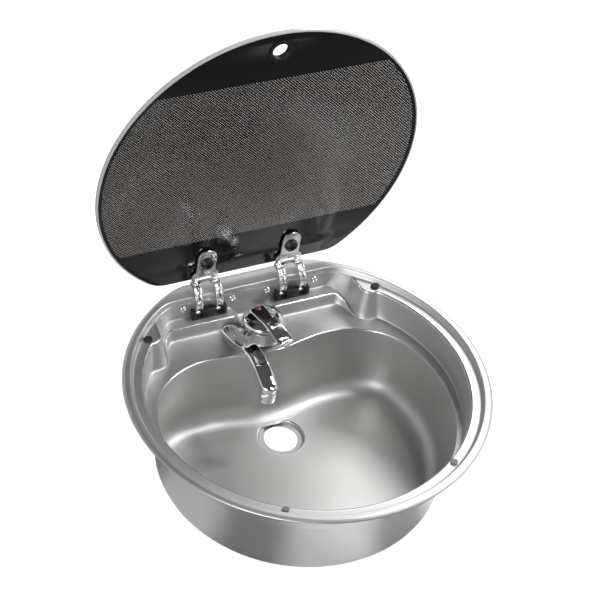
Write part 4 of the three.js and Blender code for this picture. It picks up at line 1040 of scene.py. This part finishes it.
def make_lever():
    """Cast lever: a domed cap over the cartridge, and a broad flat-topped tongue that
    falls forward to a squared tip. Section: a super-ellipse. Near the tip an oval thumb
    scoop is pressed in, with a raised lip round it."""
    outside = [(22.6, 0), (24.6, 0), (24.6, 2.6), (23.2, 5.0), (17.0, 8.4), (8.0, 9.8), (0.0, 10.0)]
    inside = [(0, 5), (17, 5), (22.2, 2.2), (22.6, 0)]
    dome = np.vstack([soften(outside, 2.2, 6), inside]) + [0, 4.0]
    turned_piece("lever_cap", dome, 144, (0, 0), CHROME, "lever", change=on_lever)
    stations = [20.6, 20.0, 18.0, 14.5, 8, 0, -8, -16, -24, -31, -37, -42, -45.6, -47.6, -48.2]
    widths = [0.4, 4.0, 7.4, 9.4, 10.2, 10.4, 10.3, 10.2, 10.2, 10.4, 10.6, 10.4, 9.2, 6.0, 0.4]
    y, half = catmull(np.column_stack([stations, widths]), np.linspace(0, 1, 110)).T
    top = lever_height(y) - 2.8 * smoothstep(y, 12, 20.6) ** 1.5 - 1.0 * smoothstep(-y, 45, 48.2)
    # thickest over the cap, and thinner towards both ends
    thick = 5.0 + 1.4 * smoothstep(y, -26, -8) - 2.8 * smoothstep(y, 9, 19)
    thick = thick - 1.8 * smoothstep(-y, 43, 48.2)
    y, top, thick = y[:, None], top[:, None], thick[:, None]
    across, rise = super_ellipse(96, 4.2)
    x = np.maximum(half, 0.05)[:, None] * across
    away = np.sqrt((x / 7.6) ** 2 + ((y + 34.6) / 10.2) ** 2)
    z = top - thick / 2 + thick / 2 * rise
    z = z - scoop(away, 0.6, 0.14, 1.04, 0.14) * smoothstep(rise, 0.2, 0.6)
    points, faces = tube(grid(x, y, z))
    names = (CHROME, "lever", "tap_lever")
    make_piece("lever_tongue", on_lever(points), faces, *names, sharp=70)
    mark_y = 11.0
    under = float(lever_height(np.array([mark_y]))[0]) - 0.55
    mark = [(0, under), (3.8, under), (3.8, under + 0.65), (3.1, under + 0.9), (0, under + 1.02)]
    enamel = (ENAMEL, "lever", "temperature_mark")
    mark = soften(mark, 0.2, 3)
    turned_piece("hot_cold_mark", mark, 48, (0, mark_y), *enamel, change=on_lever)


SPOUT_TOP = [(-9.8, 33.2), (0, 31.6), (14, 28.2), (28, 23.4), (40, 17.6), (52, 11.2), (62, 8.2)]
SPOUT_TOP += [(72, 7.2), (84, 7.6), (94, 9.8), (104, 13.4), (112, 17), (120.8, 20.6)]


def make_spout():
    """Cast spout: a flat bar with round ends, carried along a low arch, with a long
    scoop in its falling half. Its section is a rounded rectangle under a slight crown."""
    chrome = (CHROME, "spout")
    reach, depth = catmull(SPOUT_TOP, np.linspace(0, 1, 150)).T
    reach[0], reach[-1] = -SPOUT_HALF, SPOUT_REACH + SPOUT_HALF
    end = np.maximum(np.maximum(-reach, reach - SPOUT_REACH), 0)
    half = np.sqrt(np.maximum(SPOUT_HALF**2 - end**2, 0.02))
    top = height(depth) - 1.5 * (end / SPOUT_HALF) ** 3
    thick = 5.6 + 2.6 * smoothstep(reach, 96, 110) - 1.2 * (end / SPOUT_HALF) ** 3
    thick = np.minimum(thick, top - height(37.1))  # clear of the link when it swivels
    reach, top, thick = reach[:, None], top[:, None], thick[:, None]
    across, rise = super_ellipse(80, 3.6)
    x = half[:, None] * across
    crown = np.where(rise > 0, -1.1 * across**4, 0)
    away = np.sqrt((x / 7.4) ** 2 + ((reach - 76.0) / 34.0) ** 4)
    z = top - thick / 2 + thick / 2 * rise + crown
    z = z - scoop(away, 1.3, 0.25, 1.05, 0.12) * smoothstep(rise, 0.2, 0.6)
    points, faces = tube(grid(x, -reach, z))
    points += SPOUT_HUB
    make_piece("spout_casting", points, faces, *chrome, "spout", sharp=70)
    angles = np.radians(np.linspace(102, 262, 40))[:, None]
    radius, z = box_profile(8.9, SPOUT_HALF, -38.4, -32.0).T
    skirt, faces = tube(grid(np.cos(angles) * radius, np.sin(angles) * radius, z))
    make_piece("spout_skirt", skirt + SPOUT_HUB, faces, *chrome)
    along = np.linspace(0, 33, 14)
    base = np.interp(along, [0, 14, 34], [-38.4, -37.4, -27.4])
    lid = np.interp(along, [0, 20, 34], [-31.8, -28.6, -25.0])
    x = np.array([-SPOUT_HALF, -SPOUT_HALF, -8.9, -8.9])
    wall, faces = tube(grid(x, -along[:, None], np.stack([base, lid, lid, base], axis=-1)))
    make_piece("spout_side_wall", wall + SPOUT_HUB, faces, *chrome)
    outlet = SPOUT_HUB[:2] - [0, SPOUT_REACH]
    head = height(26.0) - GAP
    neck = box_profile(7.7, SPOUT_HALF, head + 0.2, head + 4, 0.4)
    turned_piece("spout_outlet_neck", neck, 72, outlet, *chrome, closed=True)
    low = head - 18
    sleeve = [(7.7, low), (8.9, low), (9.6, low + 0.8), (9.6, head), (7.7, head)]

    def ribbed(points):
        """Fine upright ribs round the middle of the sleeve."""
        across, z = points[:, :2] - outlet, points[:, 2]
        ribs = 1 + 0.012 * np.cos(32 * np.arctan2(across[:, 1], across[:, 0]))
        scale = np.where((z < head - 3) & (z > low + 3), ribs, 1.0)[:, None]
        return np.column_stack([outlet + across * scale, z])

    sleeve = soften(sleeve, 0.4, 3, closed=True)
    names = (*chrome, "aerator_sleeve")
    turned_piece("aerator_housing", sleeve, 96, outlet, *names, closed=True, change=ribbed)


def make_under_deck():
    """Threaded shank with its rubber and steel washers, hidden under the deck."""
    top = height(DECK) + 1.3
    length, pitch = 42, 1.5
    z = top - length * np.linspace(0, 1, 200)
    groove = 0.5 + 0.5 * np.cos(2 * np.pi * (top - z) / pitch)
    thread = 15.5 - 0.45 * groove * ((top - z) > 6)
    shank = np.vstack([np.column_stack([thread, z]), [(11.5, top - length), (11.5, top)]])
    place = (0, TAP_Y)
    zinc = (ZINC, "basin", "tap_shank")
    turned_piece("tap_shank_thread", shank, 64, place, *zinc, closed=True, sharp=60)
    under = height(DECK) - SHEET - GAP
    for name, node, outer, high, low, look in (
        ("shank_rubber_washer", "shank_seal", 27.0, under, under - 2, BLACK_RUBBER),
        ("shank_steel_washer", "shank_washer", 26.0, under - 2.3, under - 3.9, ZINC),
    ):
        washer = box_profile(15.8, outer, low, high)
        turned_piece(name, washer, 72, place, look, "basin", node, closed=True)


# ---------------------------------------------------------------- pieces

make_basin()
make_glass()
make_finger_ring()
for hinge in SIDES:
    make_hinge_arm(*hinge)
    make_lid_fastening(*hinge)
    make_hinge_block(*hinge)
make_rivets()
make_bumpers()
make_tap_body()
make_lever()
make_spout()
make_under_deck()

KEPT = {
    ZINC: [f"hinge_{kind}_{side}" for kind in ("bracket", "pin") for _, side in SIDES]
    + ["cartridge_nut", "cartridge_pin", "cartridge_stem", "shank_nut"],
    ACETAL: ["cartridge", "cartridge_turret", "spout_bush", "aerator_screen"],
    FOAM: ["rim_seal"],
}
for look, names in KEPT.items():
    for node_name in names:
        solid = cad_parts[node_name]
        solid.data.materials.clear()
        solid.data.materials.append(look)

# ---------------------------------------------------------------- studio


def finish_seen(tree, output, metal, camera):
    """Ends nodes in one shader for rays from the camera, also through the glass, and in
    another for the rays that light the part and that its metal reflects."""
    path = add(tree, "LightPath")
    rays = [path.outputs["Is Camera Ray"], path.outputs["Is Transmission Ray"]]
    inputs = {0: math_node(tree, "MAXIMUM", *rays), 1: metal, 2: camera}
    add(tree, output, {"Surface": add(tree, "MixShader", inputs).outputs[0]})


def make_floor():
    """A floor that the camera sees as glowing white paper with the part's shadow on it,
    and the metal as a card with grey sectors that fade away from its middle."""
    mesh = bpy.data.meshes.new("floor")
    size, z = 6.0, cad_box[0][2]
    corners = [(-size, -size, z), (size, -size, z), (size, size, z), (-size, size, z)]
    mesh.from_pydata(corners, [], [(0, 1, 2, 3)])
    material, tree, place = new_material("floor_paper_white")
    matt = add(tree, "BsdfDiffuse", {"Color": srgb("#f4f4f4")})
    away = add(tree, "VectorMath", {0: place}, operation="LENGTH").outputs["Value"]
    level = ramp(tree, away, 0.62, 1.0, 0.6, 1.6)  # brighter far off, where no lamp reaches
    glow = add(tree, "Emission", {"Color": (1, 1, 1, 1), "Strength": level})
    both = add(tree, "AddShader", {0: matt.outputs[0], 1: glow.outputs[0]})
    axes = add(tree, "SeparateXYZ", {"Vector": place})
    calc = partial(math_node, tree)
    angle = calc("ARCTAN2", axes.outputs["Y"], axes.outputs["X"])
    sectors, start = 5.0, math.radians(100)
    wave = calc("COSINE", calc("MULTIPLY", calc("ADD", angle, start), sectors))
    near = ramp(tree, wave, 0.15, 1.0, -0.7, 0.7)
    spread = ramp(tree, away, 1.0, 0.0, 0.3, 0.5)
    pool = calc("ADD", calc("MULTIPLY", near, spread), 0.2)
    card = add(tree, "BsdfDiffuse", {"Color": tint(tree, pool, "#000000", "#ffffff")})
    finish_seen(tree, "OutputMaterial", card.outputs[0], both.outputs[0])
    mesh.materials.append(material)
    floor = put("floor", mesh)


def make_world():
    """White to the camera. To the metal, pale walls that darken upwards, with a dark
    patch straight in front."""
    world = bpy.data.worlds.new("studio")
    bpy.context.scene.world = world
    world.use_nodes = True
    tree = world.node_tree
    tree.nodes.clear()
    heading = add(tree, "TexCoord").outputs["Generated"]
    axes = add(tree, "SeparateXYZ", {"Vector": heading})
    walls = ramp(tree, axes.outputs["Z"], 0.9, 0.08, 0.25, 0.65)
    front = ramp(tree, axes.outputs["Y"], 0.05, 1.0, -0.9, -0.8)
    walls = math_node(tree, "MULTIPLY", walls, front)
    around, white = (
        add(tree, "Background", {"Color": (1, 1, 1, 1), "Strength": strength}).outputs[0]
        for strength in (walls, 1.0)
    )
    finish_seen(tree, "OutputWorld", around, white)


def make_lamps():
    """Soft rectangular lamps that face the part: name, place, size and watts."""
    target = Vector((0, 0.05, 0))
    for name, place, (width, length), power in (
        ("strip", (1.05, -0.12, 1.45), (0.1, 0.9), 18.5),
        ("rear", (1.05, 0.85, 1.12), (0.7, 0.45), 9.5),
        ("front", (0.65, -0.77, 1.38), (0.1, 0.45), 1.8),
        ("side", (-1.3, -1.2, 0.7), (0.8, 0.8), 17.0),
    ):
        data = bpy.data.lights.new(name, "AREA")
        data.shape = "RECTANGLE"
        data.size, data.size_y = width, length
        data.energy = power
        lamp = put(name, data)
        lamp.location = place
        lamp.rotation_euler = (Vector(place) - target).to_track_quat("Z", "Y").to_euler()


def make_camera():
    """The photograph's view: a long lens from the front left and above."""
    data = bpy.data.cameras.new("camera")
    data.lens = 99.0
    data.sensor_width = 36.0
    data.clip_end = 20.0
    camera = put("camera", data)
    camera.location = (-0.67538, -1.14820, 1.30650)
    camera.rotation_euler = Euler([math.radians(a) for a in (48.0575, -5.6447, -24.4800)], "XYZ")
    bpy.context.scene.camera = camera


make_floor()
make_world()
make_lamps()
make_camera()
bpy.context.scene.view_settings.view_transform = "Standard"
